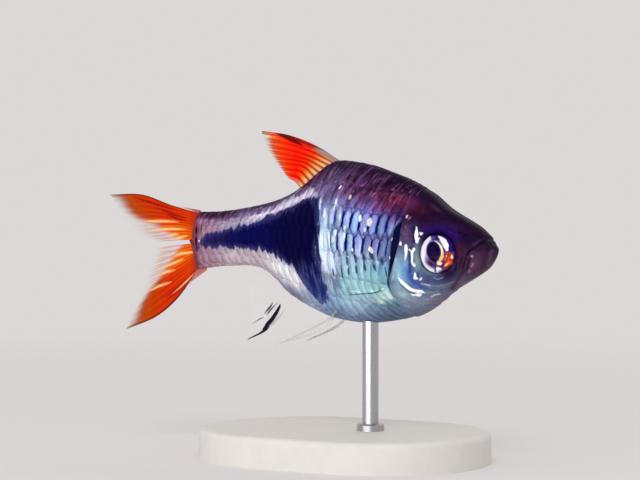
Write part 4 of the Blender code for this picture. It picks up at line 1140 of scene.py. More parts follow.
def iris_colour(a, b):
    """Colour of the front of an eye, a millimetres ahead of its middle and b above it."""
    r = np.hypot((a - IRIS_AT[0]) / IRIS[0], (b - IRIS_AT[1]) / IRIS[1])
    way = np.degrees(np.arctan2((b - IRIS_AT[1]) / IRIS[1], (a - IRIS_AT[0]) / IRIS[0]))
    pb = (b - PUPIL_AT[1]) / PUPIL[1]
    pa = (a - PUPIL_AT[0] + 0.11 * pb) / (PUPIL[0] * (1 - 0.16 * step(0.0, -1.0, pb)))
    oval = np.hypot(pa, pb)
    found = np.broadcast_to((0.64, 0.60, 0.76), (*a.shape, 3))
    found = paint(found, (0.34, 0.25, 0.44), step(0.3, 0.5, a) * step(0.7, 0.3, b))
    found = paint(found, (0.44, 0.36, 0.56), step(1.9, 1.2, oval) * step(-0.1, -0.7, b) * step(0.3, -0.2, a))
    found = paint(found, (0.16, 0.09, 0.26), 1.2 * spot(a, b, (-0.62, -1.15), (0.45, 0.2), -35))
    inner = straight_lines(WHITE_DEPTH, way % 360.0)
    found = paint(found, WHITE, ring_part(way, 116, 260, 4) * step(-0.09, 0.05, r - inner))
    found = paint(found, (0.80, 0.78, 0.88), 0.35 * ring_part(way, 125, 205, 12) * step(0.84, 0.7, r))
    found = paint(found, (0.14, 0.04, 0.36), ring_part(way, 6, 114, 5) * step(0.62, 0.74, r))
    found = paint(found, (0.44, 0.36, 0.62), spot(a, b, (-0.44, 1.36), (0.16, 0.13)))
    for colour, strength, soft, line in UPPER_MARKS:
        found = paint(found, colour, strength * daub(a, b, line, soft))
    cream = daub(a, b, CREAM_RING, 0.06)
    found = paint(found, (1.0, 0.94, 0.85), cream)
    found = paint(found, (0.97, 0.72, 0.42), cream * step(0.2, -0.6, b))
    patch = daub(a, b, ORANGE_PATCH, 0.08)
    found = paint(found, (0.60, 0.17, 0.12), patch)
    bright = np.maximum(spot(a, b, (0.95, -0.6), (0.3, 0.5)), spot(a, b, (1.2, -1.0), (0.3, 0.25)))
    found = paint(found, (0.90, 0.38, 0.18), patch * bright)
    for colour, strength, soft, line in LOWER_MARKS:
        found = paint(found, colour, strength * daub(a, b, line, soft))
    found = paint(found, (0.14, 0.05, 0.22), ring_part(way, 278, 322, 6) * step(0.93, 0.99, r))
    found = paint(found, (0.08, 0.04, 0.17), step(1.0, 1.04, r))
    found = paint(found, (0.14, 0.03, 0.40), ring_part(way, 12, 82, 12) * step(0.97, 1.02, r))
    found = paint(found, (0.22, 0.06, 0.14), ring_part(way, 325, 370, 12) * step(0.99, 1.04, r))
    found = paint(found, DARK_VIOLET, np.exp(-((oval - 1.02) / 0.05) ** 2) * 0.8)
    return paint(found, (0.06, 0.0, 0.19), step(1.03, 0.96, oval)), oval


def eye_ball(side):
    """The ball with its iris and pupil."""
    piece, turn, out = sheet("eyeball_left" if side > 0 else "eyeball_right", EYE_SECTORS, EYE_RINGS)
    turn = turn * math.tau
    at_back = np.clip((out - BALL_FRONT) / (1 - BALL_FRONT), 0, 1) * math.pi / 2
    radius = BALL_RADIUS * np.where(out < BALL_FRONT, out / BALL_FRONT, np.cos(at_back))
    a, b = radius * np.cos(turn) * EYE_WIDTH, radius * np.sin(turn)
    colour, oval = iris_colour(a - IRIS_SHIFT[0], b - IRIS_SHIFT[1])
    dome = IRIS_RISE * np.sqrt(np.clip(1 - (radius / BALL_RADIUS) ** 2, 0, 1))
    dome += 0.05 * np.exp(-((oval - 1.15) / 0.1) ** 2) + 0.1 * step(1.0, 0.4, oval)
    local = np.stack([a, b, np.where(out < BALL_FRONT, dome, -EYE_BACK * np.sin(at_back))], axis=-1)
    place(piece, local @ eye_turn(side) + eye_middle(side))
    give_colour(piece, "marking", colour)
    close_up(piece)
    return piece


def cornea(side):
    """The clear dome over an iris, a thin closed shell."""
    piece, turn, out = sheet("cornea_left" if side > 0 else "cornea_right", EYE_SECTORS, CORNEA_RINGS)
    turn = turn * math.tau
    outer = out < 0.5
    share = np.where(outer, out * 2, 2 - out * 2)
    radius = (BALL_RADIUS - 0.02) * np.sin(share * math.pi / 2)
    rise = np.cos(share * math.pi / 2) * CORNEA_RISE - np.where(outer, 0.0, CORNEA_THICK)
    local = np.stack([radius * np.cos(turn) * EYE_WIDTH, radius * np.sin(turn), rise + 0.03], axis=-1)
    place(piece, local @ eye_turn(side) + eye_middle(side))
    close_up(piece)
    return piece


eye_look, shader = material("silver_iris", 0.4, metallic=0.1, shine=0.02)
shaded(eye_look, shader, read(eye_look, "marking"), noise(eye_look, 2400.0, 4.0), 0.3)

cornea_look = bpy.data.materials.new("clear_cornea")
cornea_look.use_nodes = True
nodes, links = cornea_look.node_tree.nodes, cornea_look.node_tree.links
nodes.remove(nodes["Principled BSDF"])
clear = nodes.new("ShaderNodeBsdfTransparent")
gloss = nodes.new("ShaderNodeBsdfGlossy")
gloss.inputs["Roughness"].default_value = 0.03
mirror = nodes.new("ShaderNodeFresnel")
mirror.inputs["IOR"].default_value = 1.12
blend = nodes.new("ShaderNodeMixShader")
links.new(mirror.outputs[0], blend.inputs[0])
links.new(clear.outputs[0], blend.inputs[1])
links.new(gloss.outputs[0], blend.inputs[2])
links.new(blend.outputs[0], nodes["Material Output"].inputs["Surface"])

for label, side in (("left", 1), ("right", -1)):
    ball = eye_ball(side)
    ball.data.materials.append(eye_look)
    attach(ball, "root")
    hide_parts("eye_" + label)
    shell = cornea(side)
    shell.data.materials.append(cornea_look)
    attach(shell, "root")

# A fin is a web of skin held out by rows of small bones, the rays. Each ray is a ridge on both faces
# that forks twice towards its tip, where the web ends just short of it.
ROOT_SINK = 0.2
WEB_HALF = 0.035
RAY_HALF = 0.1
RAY_WIDTH = 0.13
TAIL_REACH = 11.5


def fin_surface(base, guides, u, v):
    """Points of a fin's middle, at a share u from its first ray to its last and v from root to tip."""
    spread = np.linspace(0, 1, len(guides))
    controls = [base(u)]
    for k in range(3):
        controls.append(np.stack([
            smooth([(at, guide[k][axis]) for at, guide in zip(spread, guides)], u) for axis in range(3)
        ], axis=-1))
    controls = np.stack(controls)
    slopes = np.stack([
        (controls[1] - controls[0]) * 3, (controls[2] - controls[0]) * 1.5,
        (controls[3] - controls[1]) * 1.5, (controls[3] - controls[2]) * 3,
    ])
    i = np.clip((v * 3).astype(int), 0, 2)
    t = (v * 3 - i)[..., None]
    pick = (i, *np.indices(i.shape))
    after = (i + 1, *np.indices(i.shape))
    ends = controls[pick] * (1 + 2 * t) * (1 - t) ** 2 + controls[after] * t * t * (3 - 2 * t)
    inside = ends + t * (1 - t) / 3 * (slopes[pick] * (1 - t) - slopes[after] * t)
    before = controls[0] + slopes[0] * v[..., None]
    return np.where(v[..., None] < 0, before, inside)


def fin_piece(name, columns, rows, base, guides, rays, fork, luck,
              web_end=0.96, sink=0.05, wave=0.0, ray_width=RAY_WIDTH):
    """One fin. Its rays stand at shares of its root. Of fork, two shares say where a ray forks, and a
    number says which ray is the first to fork. Returns the fin, u and v, how much of a ray lies at each
    corner, and its points."""
    piece, u, v = sheet(name, columns, rows)
    count = len(rays)
    reach = luck.normal(1.0, 0.008, count)
    tips = np.interp(u, rays, reach)
    half_gap = 0.5 / count
    gap_to_ray = np.min([np.abs(u - at) for at in rays], axis=0) / half_gap
    tips = tips * (1 - (1 - web_end) * step(0.2, 1.0, gap_to_ray))
    v = -sink + (tips + sink) * v
    middle = fin_surface(base, guides, u, v)
    across = np.gradient(middle, axis=1)
    down = np.gradient(middle, axis=0)
    wide = np.linalg.norm(across, axis=-1) * columns
    normal = np.cross(across, down)
    normal /= np.maximum(np.linalg.norm(normal, axis=-1, keepdims=True), 1e-9)
    ridge = np.zeros(u.shape)
    for k, at in enumerate(rays):
        first = half_gap * 0.5 * step(fork[0], 1.0, v) * (k >= fork[2])
        second = half_gap * 0.27 * step(fork[1], 1.05, v) * (k >= fork[2])
        thick = ray_width * (1 - 0.5 * np.clip(v, 0, 1))
        for one in (-1, 1):
            for two in (-1, 1):
                off = np.abs(u - at - one * first * 1.1 - two * second) * wide
                ridge = np.maximum(ridge, np.exp(-((off / thick) ** 2)))
    middle = middle + normal * (wave * np.sin(u * 17 + v * 4) * np.clip(v, 0, 1) ** 2)[..., None]
    place(piece, middle)
    half = (WEB_HALF + (RAY_HALF - WEB_HALF) * ridge) * (1 - 0.6 * np.clip(v, 0, 1) ** 2)
    group = piece.vertex_groups.new(name="thickness")
    for index, weight in enumerate((half / RAY_HALF).ravel()):
        group.add((index,), float(weight), "REPLACE")
    return piece, u, v, ridge, middle


def streaks(points, lines, width):
    """1 along any of some tapered lines of the side view, fading to 0 beside them."""
    return np.max([brush(points[..., 0], points[..., 2], line, width) for line in lines], axis=0)


def finish_fin(piece, nodes, colour, clear, look):
    """Stores a fin's colours, gives it its thickness and its material, and lets it replace its nodes."""
    give_colour(piece, "marking", colour)
    give(piece, "clear", np.clip(clear, 0, 1))
    thick = piece.modifiers.new("thickness", "SOLIDIFY")
    thick.thickness = 2 * RAY_HALF * MM
    thick.offset = 0.0
    thick.vertex_group = "thickness"
    bpy.context.view_layer.objects.active = piece
    bpy.ops.object.modifier_apply(modifier="thickness")
    bpy.ops.object.shade_smooth()
    piece.data.materials.append(look)
    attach(piece, "root")
    if nodes:
        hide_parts(*nodes)


def fin_look(name, roughness):
    """Fin skin, coloured and more or less clear by the stored values."""
    look, shader = material(name, roughness, shine=0.03)
    links = look.node_tree.links
    shaded(look, shader, read(look, "marking"), noise(look, 2200.0, 3.0), 0.3)
    links.new(read(look, "clear", "Fac"), shader.inputs["Alpha"])
    bump(look, shader, noise(look, 5000.0, 2.0), 0.00001, 0.4)
    return look


def on_ridge(x_front, x_rear, outline, side, sink=ROOT_SINK):
    """Root line of a fin on the back, side 1, or under the belly, side -1."""
    def base(u):
        x = x_front + (x_rear - x_front) * u
        return np.stack([x, 0 * x, smooth(outline, x) - side * sink], axis=-1)
    return base


def median(guides, sweep=0.0):
    """Guides given in side view, placed on the fish's middle plane or swept off it towards the tips."""
    return [[(x, sweep * (x / TAIL_REACH) ** 2, z) for x, z in guide] for guide in guides]


# The dorsal fin stands on the ridge of the back, orange red between a dark leading edge and a clear
# trailing one. Its rays are rooted in the flesh, and the web between them is thin skin.
DORSAL_ROOT = (16.95, 12.35)
DORSAL_RAYS = [
    [(14.0, 9.5), (10.9, 10.62), (7.75, 11.12)], [(13.2, 8.35), (10.8, 8.95), (8.3, 9.4)],
    [(12.6, 7.35), (11.1, 7.6), (9.5, 7.7)], [(11.75, 5.8), (11.3, 6.05), (10.8, 6.25)],
]
DORSAL_PLACES = [0.0, 0.05, 0.17, 0.29, 0.41, 0.53, 0.65, 0.77, 0.89, 1.0]
RAY_TONES = [
    (0.0, (0.50, 0.26, 0.18)), (0.12, (0.58, 0.18, 0.08)), (0.3, (0.66, 0.04, 0.0)), (0.5, (0.84, 0.0, 0.0)),
    (0.8, (0.82, 0.14, 0.0)), (0.95, (0.62, 0.32, 0.14)), (1.0, (0.50, 0.32, 0.22)),
]
WEB_TONES = [
    (0.0, (0.98, 0.76, 0.60)), (0.12, (1.0, 0.74, 0.44)), (0.28, (1.0, 0.30, 0.02)), (0.48, (1.0, 0.10, 0.0)),
    (0.72, (1.0, 0.22, 0.0)), (0.9, (0.97, 0.42, 0.08)), (1.0, (0.97, 0.66, 0.40)),
]
DORSAL_MAROON = [
    (9.3, 10.98, 0.06), (10.2, 10.62, 0.2), (11.3, 10.15, 0.26), (12.2, 9.7, 0.12), (12.5, 9.5, 0.02),
]
DORSAL_LEAD = [
    (7.8, 11.05, 0.08), (9.3, 11.08, 0.1), (11.0, 10.45, 0.12), (12.6, 9.88, 0.08), (14.0, 9.4, 0.06),
    (16.6, 8.3, 0.05),
]

orange_look = fin_look("orange_web", 0.45)
luck = np.random.default_rng(11)
piece, u, v, ridge, middle = fin_piece(
    "dorsal_web", 240, 100, on_ridge(*DORSAL_ROOT, BACK, 1), median(DORSAL_RAYS), DORSAL_PLACES,
    (0.45, 0.7, 2), luck, web_end=0.985, ray_width=0.16)
colour = ramp(v, WEB_TONES)
colour = colour + (ramp(v, RAY_TONES) - colour) * (0.85 * ridge)[..., None]
across_fin, up_fin = middle[..., 0], middle[..., 2]
colour = paint(colour, (0.62, 0.48, 0.47), step(0.15, 0.1, u) * step(0.36, 0.26, v))
colour = paint(colour, (0.80, 0.12, 0.04), step(0.15, 0.1, u) * step(0.3, 0.4, v) * step(0.6, 0.5, v))
colour = paint(colour, (0.42, 0.0, 0.02), daub(across_fin, up_fin, DORSAL_MAROON, 0.12))
colour = paint(colour, (0.34, 0.10, 0.11), 0.85 * daub(across_fin, up_fin, DORSAL_LEAD, 0.05))
clear = 0.97 - 0.85 * step(0.86, 1.0, v) * step(0.03, 0.1, u) - 0.35 * step(0.14, 0.08, u) * step(0.4, 0.2, v)
clear = clear - 0.5 * step(0.9, 1.0, u) - 0.45 * step(0.72, 0.95, v) * (1 - ridge)
finish_fin(piece, ["dorsal_fin"], colour, clear, orange_look)

# The tail fin has two lobes of forked rays, orange red with cream streaks, clear along the fork. Their
# roots fan out from the end of the stalk, and the whole fin bends a little to the fish's left.
TAIL_SWEEP = 0.8
UPPER_TAIL_ROOT = (2.85, 0.05)
UPPER_TAIL_RAYS = [
    [(-3.6, 3.68), (-7.6, 4.85), (-12.0, 4.9)], [(-3.3, 2.75), (-6.7, 3.15), (-10.6, 3.1)],
    [(-3.0, 1.85), (-5.8, 1.9), (-9.0, 1.65)], [(-2.5, 0.85), (-5.0, 0.75), (-7.6, 0.45)],
    [(-1.8, 0.0), (-3.6, -0.1), (-5.3, -0.2)],
]
LOWER_TAIL_ROOT = (-3.0, -0.3)
LOWER_TAIL_RAYS = [
    [(-2.6, -5.95), (-5.6, -8.1), (-9.9, -9.6)], [(-2.8, -4.25), (-5.6, -6.05), (-8.7, -7.6)],
    [(-2.5, -2.9), (-5.0, -4.15), (-7.4, -5.2)], [(-2.2, -1.65), (-4.3, -2.35), (-6.3, -2.95)],
    [(-1.8, -0.45), (-3.6, -0.6), (-5.3, -0.75)],
]
TAIL_PLACES = [0.0, 0.025, 0.1, 0.19, 0.28, 0.37, 0.46, 0.55, 0.64, 0.73, 0.82, 0.91, 1.0]
TAIL_CREAM = {
    "upper": [
        [(-8.16, 2.01), (-4.23, 1.99), (-2.47, 1.91)], [(-4.23, 0.5), (-2.47, 0.6)],
        [(-6.69, 1.06), (-5.25, 1.14), (-3.34, 1.18), (-1.48, 1.13)], [(-3.47, 0.05), (-1.36, 0.45)],
    ],
    "lower": [
        [(-3.47, -1.82), (-2.22, -1.41), (-0.39, -1.25)], [(-4.74, -2.98), (-3.47, -2.52), (-1.79, -1.96)],
        [(-5.51, -3.9), (-4.23, -3.38), (-2.97, -3.12)], [(-6.82, -5.55), (-5.25, -4.91), (-3.47, -4.38)],
        [(-3.4, -5.75), (-2.2, -4.87), (-0.5, -3.4)],
    ],
}
TAIL_DARK = {
    "upper": [[(-5.51, 3.44), (-3.47, 2.77), (-1.48, 2.25)], [(-4.1, 2.67), (-2.72, 2.26), (-1.6, 2.0)],
              [(-9.0, 4.7), (-5.6, 3.8), (-2.6, 3.05)]],
    "lower": [[(-4.43, -6.15), (-2.22, -4.6), (-0.3, -3.05)], [(-4.0, -6.3), (-2.22, -5.12), (-0.8, -3.9)]],
}
TAIL_TONES = [(0.0, (0.66, 0.20, 0.14)), (0.12, (0.84, 0.25, 0.0)), (0.45, (0.80, 0.18, 0.0)),
              (0.7, (0.74, 0.24, 0.0)), (0.9, (0.66, 0.30, 0.06)), (1.0, (0.58, 0.34, 0.18))]
TAIL_INNER = [(0.0, (0.74, 0.28, 0.14)), (0.15, (0.90, 0.40, 0.0)), (0.5, (0.88, 0.42, 0.04)),
              (0.7, (0.82, 0.54, 0.32)), (1.0, (0.68, 0.64, 0.66))]
TAIL_SOLID = [
    (0.0, 1.02), (0.15, 1.0), (0.3, 0.95), (0.42, 0.84), (0.55, 0.7), (0.7, 0.6), (0.85, 0.52), (1.0, 0.42),
]


def tail_root(root_z):
    """Root line of one lobe of the tail fin, down the end of the stalk."""
    def base(u):
        return np.stack([0 * u - ROOT_SINK, 0 * u, root_z[0] + (root_z[1] - root_z[0]) * u], axis=-1)
    return base


for label, root_z, guides in (
    ("upper", UPPER_TAIL_ROOT, UPPER_TAIL_RAYS), ("lower", LOWER_TAIL_ROOT, LOWER_TAIL_RAYS),
):
    piece, u, v, ridge, middle = fin_piece(
        "tail_web_" + label, 250, 120, tail_root(root_z), median(guides, TAIL_SWEEP), TAIL_PLACES,
        (0.3, 0.55, 2), luck, web_end=0.98, wave=0.04, ray_width=0.1)
    inner = step(0.35, 0.7, u)[..., None]
    colour = ramp(v, TAIL_TONES) * (1 - inner) + ramp(v, TAIL_INNER) * inner
    colour = paint(colour, (0.66, 0.07, 0.0), 0.4 * ridge * step(0.9, 0.6, v))
    colour = paint(colour, (1.0, 0.82, 0.60), streaks(middle, TAIL_CREAM[label], 0.15))
    colour = paint(colour, (0.55, 0.03, 0.02), 0.8 * streaks(middle, TAIL_DARK[label], 0.13))
    colour = paint(colour, (0.45, 0.10, 0.12), 0.8 * step(0.03, 0.008, u) * step(0.05, 0.2, v))
    solid = step(0.1, -0.2, v + 0.02 * np.sin(u * 61) - straight_lines(TAIL_SOLID, u))
    wisps = (0.1 + 0.25 * ridge) * step(0.35, 0.7, u)
    clear = 0.04 + 0.1 * ridge + (0.95 - 0.1 * ridge) * solid + 0.4 * streaks(middle, TAIL_CREAM[label], 0.16)
    clear = np.maximum(clear, wisps)
    clear = np.clip(clear, 0, 1) * (1 - 0.85 * step(0.8, 1.0, v) * step(0.01, 0.06, u))
    finish_fin(piece, ["tail_fin_" + label], colour, clear, orange_look)

# Short stiff rays without forks stand along the stalk's edges, ahead of each lobe, in a pink web that
# is rooted just under the skin and runs onto the lobe's first ray.
FRINGE_PLACES = np.linspace(0, 1, 9)
FRINGE_SINK = 0.12
UPPER_FRINGE = [[(0.1, 3.1), (0.0, 3.14), (-0.15, 3.18)], [(-1.0, 3.15), (-2.0, 3.4), (-3.2, 3.66)]]
LOWER_FRINGE = [[(0.9, -3.12), (0.8, -3.22), (0.6, -3.38)], [(-0.9, -4.0), (-1.5, -4.6), (-2.2, -5.3)]]

for label, side, first, outline, guides in (
    ("upper", 1, 0.25, BACK, UPPER_FRINGE), ("lower", -1, 0.95, BELLY, LOWER_FRINGE),
):
    piece, u, v, ridge, middle = fin_piece(
        "fringe_" + label, 90, 24, on_ridge(first, -0.4, outline, side, FRINGE_SINK), median(guides),
        FRINGE_PLACES, (2.0, 2.0, 9), luck, web_end=0.85)
    colour = paint(np.broadcast_to((0.88, 0.52, 0.42), (*u.shape, 3)), (0.70, 0.28, 0.24), ridge)
    clear = (0.4 + 0.3 * ridge) * (1 - 0.8 * step(0.4, 1.0, v))
    finish_fin(piece, [], colour, clear, orange_look)

# The anal fin is nearly clear, with one bold dark streak across its rays. It is rooted along the ridge
# of the belly, behind the vent.
ANAL_ROOT = (11.3, 7.7)
ANAL_RAYS = [
    [(9.9, -7.75), (8.2, -9.25), (5.95, -10.25)], [(9.0, -6.7), (7.8, -7.85), (6.3, -8.7)],
    [(8.2, -5.2), (7.3, -6.2), (6.3, -6.9)], [(7.2, -3.8), (6.6, -4.3), (6.0, -4.7)],
]
ANAL_BOLD = [
    [(9.94, -6.5, 0.03), (9.78, -6.87, 0.14), (9.42, -7.43, 0.2), (9.02, -7.98, 0.21), (8.38, -8.64, 0.24),
     (7.94, -9.1, 0.14)],
    [(8.62, -8.8, 0.04), (7.9, -9.37, 0.2), (7.42, -9.66, 0.18), (6.69, -9.95, 0.14), (6.04, -10.17, 0.04)],
]
ANAL_FINE = [
    [(9.05, -6.3, 0.01), (8.82, -6.69, 0.08), (8.54, -7.0, 0.1), (8.02, -7.5, 0.02)],
    [(9.7, -6.3, 0.01), (9.26, -6.61, 0.03), (8.94, -6.92, 0.07), (8.54, -7.34, 0.08), (8.26, -7.62, 0.02)],
    [(7.86, -7.9, 0.03), (7.42, -8.08, 0.05), (6.61, -8.55, 0.01)],
]
ANAL_PALE = [
    [(10.97, -6.28, 0.02), (10.69, -6.82, 0.08), (10.21, -7.38, 0.08), (9.58, -8.0, 0.12),
     (8.94, -8.56, 0.14)],
    [(8.0, -8.95, 0.04), (7.66, -9.1, 0.06), (6.85, -9.43, 0.04), (6.28, -9.67, 0.01)],
    [(8.62, -7.68, 0.03), (7.9, -8.38, 0.04), (7.01, -8.95, 0.01)],
]
ANAL_PLACES = [0.0, 0.06, 0.17, 0.28, 0.4, 0.52, 0.64, 0.76, 0.88, 1.0]
clear_look = fin_look("clear_web", 0.3)
piece, u, v, ridge, middle = fin_piece(
    "anal_web", 180, 80, on_ridge(*ANAL_ROOT, BELLY, -1), median(ANAL_RAYS), ANAL_PLACES,
    (0.35, 0.6, 2), luck)
bold, fine, pale = [
    np.max([daub(middle[..., 0], middle[..., 2], line, 0.06) for line in lines], axis=0)
    for lines in (ANAL_BOLD, ANAL_FINE, ANAL_PALE)
]
colour = paint(np.broadcast_to((0.90, 0.86, 0.87), (*u.shape, 3)), (0.76, 0.66, 0.74), pale)
colour = paint(colour, (0.10, 0.06, 0.14), np.maximum(bold, fine))
clear = 0.02 + 0.04 * ridge + 0.35 * pale + 1.0 * bold + 0.85 * fine
finish_fin(piece, ["anal_fin"], colour, clear, clear_look)

# The paired fins are clear fans of thin rays: the pelvics under the belly and the pectorals behind the
# gills. Each is rooted in the flesh of its flank by the short line of its rays.
PECTORAL_ROOT = [(23.3, -33), (22.9, -43)]
PECTORAL_RAYS = [
    [(22.6, 3.35, -5.06), (20.9, 3.45, -5.2), (18.8, 3.4, -5.4)],
    [(22.3, 3.15, -5.55), (20.7, 3.2, -6.0), (18.9, 3.05, -6.4)],
    [(22.1, 2.95, -6.05), (21.0, 2.85, -6.8), (19.9, 2.7, -7.5)],
]
PELVIC_ROOT = [(17.4, -62), (16.5, -77)]
PELVIC_RAYS = [
    [(16.4, 2.0, -7.95), (13.8, 2.6, -9.3), (11.1, 2.95, -10.45)],
    [(16.2, 1.45, -8.4), (14.2, 1.75, -9.35), (12.0, 1.85, -10.15)],
    [(16.1, 0.9, -8.65), (14.9, 0.8, -9.2), (13.7, 0.7, -9.6)],
]


def flank_root(roots, side):
    """Root line of a paired fin, in the flesh of the flank."""
    def base(u):
        x = roots[0][0] + (roots[1][0] - roots[0][0]) * u
        angle = np.radians(roots[0][1] + (roots[1][1] - roots[0][1]) * u)
        found = body_surface(x, angle, -ROOT_SINK)
        found[..., 1] *= side
        return found
    return base


for label, side in (("left", 1), ("right", -1)):
    guides = [[(x, side * y, z) for x, y, z in guide] for guide in PECTORAL_RAYS]
    piece, u, v, ridge, middle = fin_piece(
        "pectoral_web_" + label, 170, 70, flank_root(PECTORAL_ROOT, side), guides, np.linspace(0, 1, 13),
        (0.35, 0.65, 1), luck, wave=0.03)
    first = step(0.06, 0.03, u)
    colour = np.broadcast_to((0.80, 0.90, 0.92), (*u.shape, 3))
    colour = paint(colour, (0.86, 1.0, 0.95), step(0.3, 0.06, v))
    colour = paint(colour, (0.12, 0.36, 0.42), first * step(0.08, 0.2, v) * step(0.95, 0.75, v))
    clear = 0.03 + 0.05 * ridge + 0.7 * first * step(1.0, 0.7, v) + 0.2 * step(0.2, 0.05, v)
    finish_fin(piece, ["pectoral_fin_" + label], colour, clear, clear_look)

    guides = [[(x, side * y, z) for x, y, z in guide] for guide in PELVIC_RAYS]
    piece, u, v, ridge, middle = fin_piece(
        "pelvic_web_" + label, 150, 80, flank_root(PELVIC_ROOT, side), guides, np.linspace(0, 1, 9),
        (0.35, 0.6, 1), luck, wave=0.03)
    first = step(0.14, 0.02, u)
    streak = spot(u, v, (0.4, 0.07), (0.2, 0.06))
    colour = paint(np.broadcast_to((0.93, 0.92, 0.93), (*u.shape, 3)), (0.80, 0.70, 0.70), first)
    colour = paint(colour, (0.16, 0.20, 0.34), 1.2 * streak)
    clear = 0.05 + 0.08 * ridge + 0.22 * first * step(1.0, 0.6, v) + 0.9 * streak + 0.2 * step(0.3, 0.0, v)
    finish_fin(piece, ["pelvic_fin_" + label], colour, clear, clear_look)

# The stand's base is a slab of pale painted board with round ends and a softened upper edge. It lies
# flat on the floor and carries the rod.
BASE_LENGTH = 30.0
BASE_DEPTH = 22.0
BASE_THICK = 3.0
BASE_X = 17.25
BASE_BEVEL = 0.6

bpy.ops.object.select_all(action="DESELECT")
bpy.ops.mesh.primitive_cylinder_add(
    vertices=160, radius=BASE_DEPTH / 2 * MM, depth=BASE_THICK * MM, end_fill_type="NGON",
    location=(*in_row((BASE_X, 0.0, 0.0))[:2], BASE_THICK / 2 * MM))
board = bpy.context.object
board.name = "base_board"
board.data.name = "base_board"
bpy.ops.object.transform_apply(location=True, rotation=True, scale=True)
straight_half = (BASE_LENGTH - BASE_DEPTH) / 2 * MM
board_middle = in_row((BASE_X, 0.0, 0.0))[0]
for vertex in board.data.vertices:
    off = vertex.co.x - board_middle
    vertex.co.x += math.copysign(straight_half, off) if abs(off) > 1e-6 else 0.0
bpy.ops.object.mode_set(mode="EDIT")
bpy.ops.mesh.select_mode(type="EDGE")
bpy.ops.mesh.select_all(action="DESELECT")
bpy.ops.object.mode_set(mode="OBJECT")
for edge in board.data.edges:
    heights = [board.data.vertices[k].co.z for k in edge.vertices]
    edge.select = min(heights) > (BASE_THICK - 0.1) * MM
bpy.ops.object.mode_set(mode="EDIT")
bpy.ops.mesh.bevel(offset=BASE_BEVEL * MM, segments=5, profile=0.5, affect="EDGES")
bpy.ops.object.mode_set(mode="OBJECT")
bpy.ops.object.shade_smooth_by_angle(angle=math.radians(40))
board_look, shader = material("painted_board", 0.55)
links = board_look.node_tree.links
tone = mixed(board_look, noise(board_look, 700.0, 6.0), (0.62, 0.60, 0.56), (0.72, 0.70, 0.66))
links.new(tone, shader.inputs["Base Color"])
bump(board_look, shader, noise(board_look, 5200.0, 4.0), 0.00003, 0.4)
board.data.materials.append(board_look)
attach(board, "root")
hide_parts("stand_base")

# A steel rod, brushed along its length, stands in the base and ends in the belly. A small collar
# turned on its foot hides the hole in the board.
ROD_X = 20.3
ROD_RADIUS = 0.8
COLLAR_RADIUS = 1.35
COLLAR_HEIGHT = 0.7
COLLAR_SINK = 0.2
COLLAR_CHAMFER = 0.15
ROD_SINK = 0.6

rod_x, _, belly_z = in_row((ROD_X, 0.0, float(smooth(BELLY, np.array(ROD_X)))))
bpy.ops.object.select_all(action="DESELECT")
bpy.ops.mesh.primitive_circle_add(
    vertices=96, radius=COLLAR_RADIUS * MM, fill_type="NGON",
    location=(rod_x, 0.0, (BASE_THICK - COLLAR_SINK) * MM))
rod = bpy.context.object
rod.name = "steel_rod"
rod.data.name = "steel_rod"
bpy.ops.object.transform_apply(location=True, rotation=True, scale=True)
bpy.ops.object.mode_set(mode="EDIT")
bpy.ops.mesh.select_all(action="SELECT")
collar_side = (COLLAR_HEIGHT + COLLAR_SINK - COLLAR_CHAMFER) * MM
bpy.ops.mesh.extrude_region_move(TRANSFORM_OT_translate={"value": (0.0, 0.0, collar_side)})
bpy.ops.mesh.extrude_region_move(TRANSFORM_OT_translate={"value": (0.0, 0.0, COLLAR_CHAMFER * MM)})
chamfer = (COLLAR_RADIUS - COLLAR_CHAMFER) / COLLAR_RADIUS
bpy.ops.transform.resize(value=(chamfer, chamfer, 1.0), center_override=(rod_x, 0.0, 0.0))
bpy.ops.mesh.extrude_region_move()
narrow = ROD_RADIUS / (COLLAR_RADIUS - COLLAR_CHAMFER)
bpy.ops.transform.resize(value=(narrow, narrow, 1.0), center_override=(rod_x, 0.0, 0.0))
rod_rise = belly_z + (ROD_SINK - BASE_THICK - COLLAR_HEIGHT) * MM
bpy.ops.mesh.extrude_region_move(TRANSFORM_OT_translate={"value": (0.0, 0.0, rod_rise)})
bpy.ops.object.mode_set(mode="OBJECT")
close_up(rod)
bpy.ops.object.shade_smooth_by_angle(angle=math.radians(35))
steel_look, shader = material("brushed_steel", 0.28, metallic=1.0)
links = steel_look.node_tree.links
lines = noise(steel_look, 4000.0, 4.0, (1.0, 1.0, 0.02))
tone = mixed(steel_look, lines, (0.34, 0.34, 0.36), (0.55, 0.55, 0.57))
links.new(tone, shader.inputs["Base Color"])
links.new(calculate(steel_look, "MULTIPLY_ADD", lines, 0.16, 0.2), shader.inputs["Roughness"])
rod.data.materials.append(steel_look)
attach(rod, "root")
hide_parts("stand_rod")

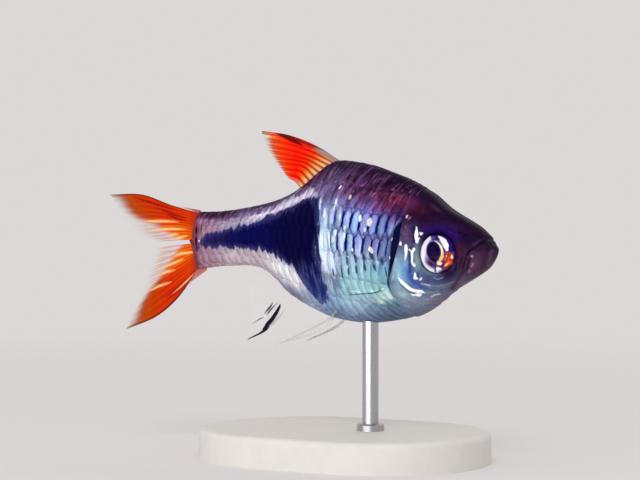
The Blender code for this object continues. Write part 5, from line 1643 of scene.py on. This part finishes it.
# A plain pale floor under three soft lamps: one above ahead, one low beside the flank and one behind.
# The floor fades into the pale room far behind, so that no edge shows.
FLOOR_HALF = 3.0
PAPER = (0.76, 0.745, 0.745)
ROOM = (0.72, 0.69, 0.69)

bpy.ops.object.select_all(action="DESELECT")
bpy.ops.mesh.primitive_circle_add(vertices=96, radius=FLOOR_HALF, fill_type="NGON", location=(0.0, 0.0, 0.0))
floor = bpy.context.object
floor.name = "floor"
floor_look, shader = material("paper", 0.9, shine=0.1)
shader.inputs["Base Color"].default_value = (*PAPER, 1.0)
nodes, links = floor_look.node_tree.nodes, floor_look.node_tree.links
far = nodes.new("ShaderNodeVectorMath")
far.operation = "LENGTH"
links.new(nodes.new("ShaderNodeTexCoord").outputs["Object"], far.inputs[0])
haze = nodes.new("ShaderNodeEmission")
haze.inputs["Color"].default_value = (*ROOM, 1.0)
fade = nodes.new("ShaderNodeMixShader")
links.new(stepped(floor_look, far.outputs["Value"], 0.05, 0.26), fade.inputs[0])
links.new(shader.outputs[0], fade.inputs[1])
links.new(haze.outputs[0], fade.inputs[2])
links.new(fade.outputs[0], nodes["Material Output"].inputs["Surface"])
floor.data.materials.append(floor_look)

world = bpy.data.worlds.new("studio")
bpy.context.scene.world = world
world.use_nodes = True
world.node_tree.nodes["Background"].inputs["Color"].default_value = (*ROOM, 1.0)

LAMPS = [
    ("key", (0.12, -0.26, 0.30), (0.14, 0.14), 0.40),
    ("low_fill", (-0.02, -0.34, 0.016), (0.40, 0.028), 0.45),
    ("back", (-0.02, 0.30, 0.28), (0.2, 0.2), 0.12),
]
for name, lamp_at, size, power in LAMPS:
    bpy.ops.object.light_add(type="AREA", location=lamp_at)
    lamp = bpy.context.object
    lamp.name = name
    lamp.data.shape = "RECTANGLE"
    lamp.data.size, lamp.data.size_y = size
    lamp.data.energy = power
    lamp.visible_camera = False
    lamp.rotation_euler = (Vector(aim) - Vector(lamp_at)).to_track_quat("-Z", "Y").to_euler()

bpy.context.scene.view_settings.view_transform = "Standard"
